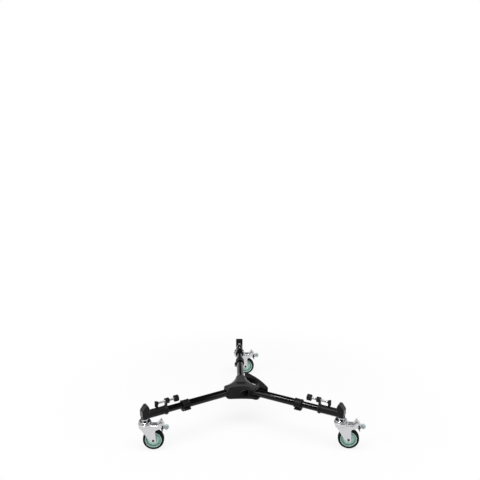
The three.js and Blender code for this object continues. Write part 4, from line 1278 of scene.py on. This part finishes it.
def floor():
    """A wide disc that is white far off and takes a faint shadow near the dolly."""
    form = bmesh.new()
    bmesh.ops.create_circle(form, cap_ends=True, segments=ROUND_STEPS, radius=floor_paint.reach)
    made = linked("floor", mesh_of(form, "floor"))
    form.free()
    paint = bpy.data.materials.new("white studio floor")
    tree = node_tree(paint)
    place = add_node(tree, "TexCoord").outputs["Object"]
    reach = add_node(tree, "VectorMath", {"operation": "LENGTH"}, {0: place}).outputs["Value"]
    rays = add_node(tree, "LightPath").outputs
    seen = maths(tree, "MAXIMUM", rays["Is Camera Ray"], rays["Is Glossy Ray"])
    amount = maths(tree, "MULTIPLY", ramp(tree, reach, floor_paint.span, floor_paint.tones), seen)
    matt = add_node(tree, "BsdfDiffuse", inputs={"Color": linear(floor_paint.colour)})
    white = add_node(tree, "Emission", inputs={"Color": linear("#ffffff"), "Strength": 1})
    shaders = {1: matt.outputs["BSDF"], 2: white.outputs["Emission"]}
    mixed = add_node(tree, "MixShader", inputs={0: amount, **shaders})
    add_node(tree, "OutputMaterial", inputs={"Surface": mixed.outputs["Shader"]})
    made.data.materials.append(paint)


def surround():
    """White to the camera, while metal and gloss show a white studio that is dark above and behind it."""
    world = bpy.data.worlds.new("studio")
    bpy.context.scene.world = world
    tree = node_tree(world)
    direction = add_node(tree, "TexCoord").outputs["Generated"]
    x, y, z = add_node(tree, "SeparateXYZ", inputs={"Vector": direction}).outputs
    ahead = ramp(tree, y, sky.ahead_span, sky.ahead_tones)
    low = ramp(tree, z, sky.low_span, sky.ceiling_tones)
    beside = ramp(tree, maths(tree, "ABSOLUTE", x), sky.side_span, sky.side_tones)
    below = ramp(tree, z, sky.side_top, sky.ceiling_tones)
    white = maths(tree, "MAXIMUM", low, maths(tree, "MULTIPLY", beside, below))
    backdrop = maths(tree, "MULTIPLY", ahead, white)
    rays = add_node(tree, "LightPath").outputs
    seen = maths(tree, "MAXIMUM", rays["Is Glossy Ray"], rays["Is Transmission Ray"])
    studio = add_node(tree, "Mix", {"data_type": "FLOAT"}, {"Factor": seen, "A": sky.light, "B": backdrop})
    strength = maths(tree, "MAXIMUM", studio.outputs["Result"], rays["Is Camera Ray"])
    colour = linear("#ffffff")
    shader = add_node(tree, "Background", inputs={"Color": colour, "Strength": strength})
    add_node(tree, "OutputWorld", inputs={"Surface": shader.outputs["Background"]})


def lamp(name, place, size, power, lights=True, glints=True):
    """A soft rectangular lamp of so many watts, placed in metres. It can be left out of what it lights, or of
    what gloss and metal show."""
    light = bpy.data.lights.new(name, "AREA")
    light.shape = "RECTANGLE"
    light.size, light.size_y = size
    light.energy = power
    made = linked(name, light)
    made.location = place
    made.rotation_euler = (Vector(lamp_aim) - Vector(place)).to_track_quat("-Z", "Y").to_euler()
    made.visible_diffuse = lights
    made.visible_glossy = glints


def photo_camera():
    data = bpy.data.cameras.new("camera")
    data.lens = camera.lens
    data.sensor_width = camera.sensor
    made = linked("camera", data)
    axes = Matrix((camera.right, camera.up, tuple(-part for part in camera.ahead))).transposed().to_4x4()
    made.matrix_world = Matrix.Translation(camera.place) @ axes
    bpy.context.scene.camera = made


floor()
surround()
lamp("key softbox", (0, -0.6, 2.3), (2.8, 1.3), 48, glints=False)
lamp("left softbox", (-2.1, -1.2, 1.5), (0.9, 1.2), 14)
lamp("right softbox", (2.1, -0.9, 1.5), (0.9, 1.2), 7)
lamp("rim strip", (-0.6, -0.85, 2.05), (1.3, 0.12), 55, lights=False)
photo_camera()
bpy.context.scene.view_settings.view_transform = "Standard"
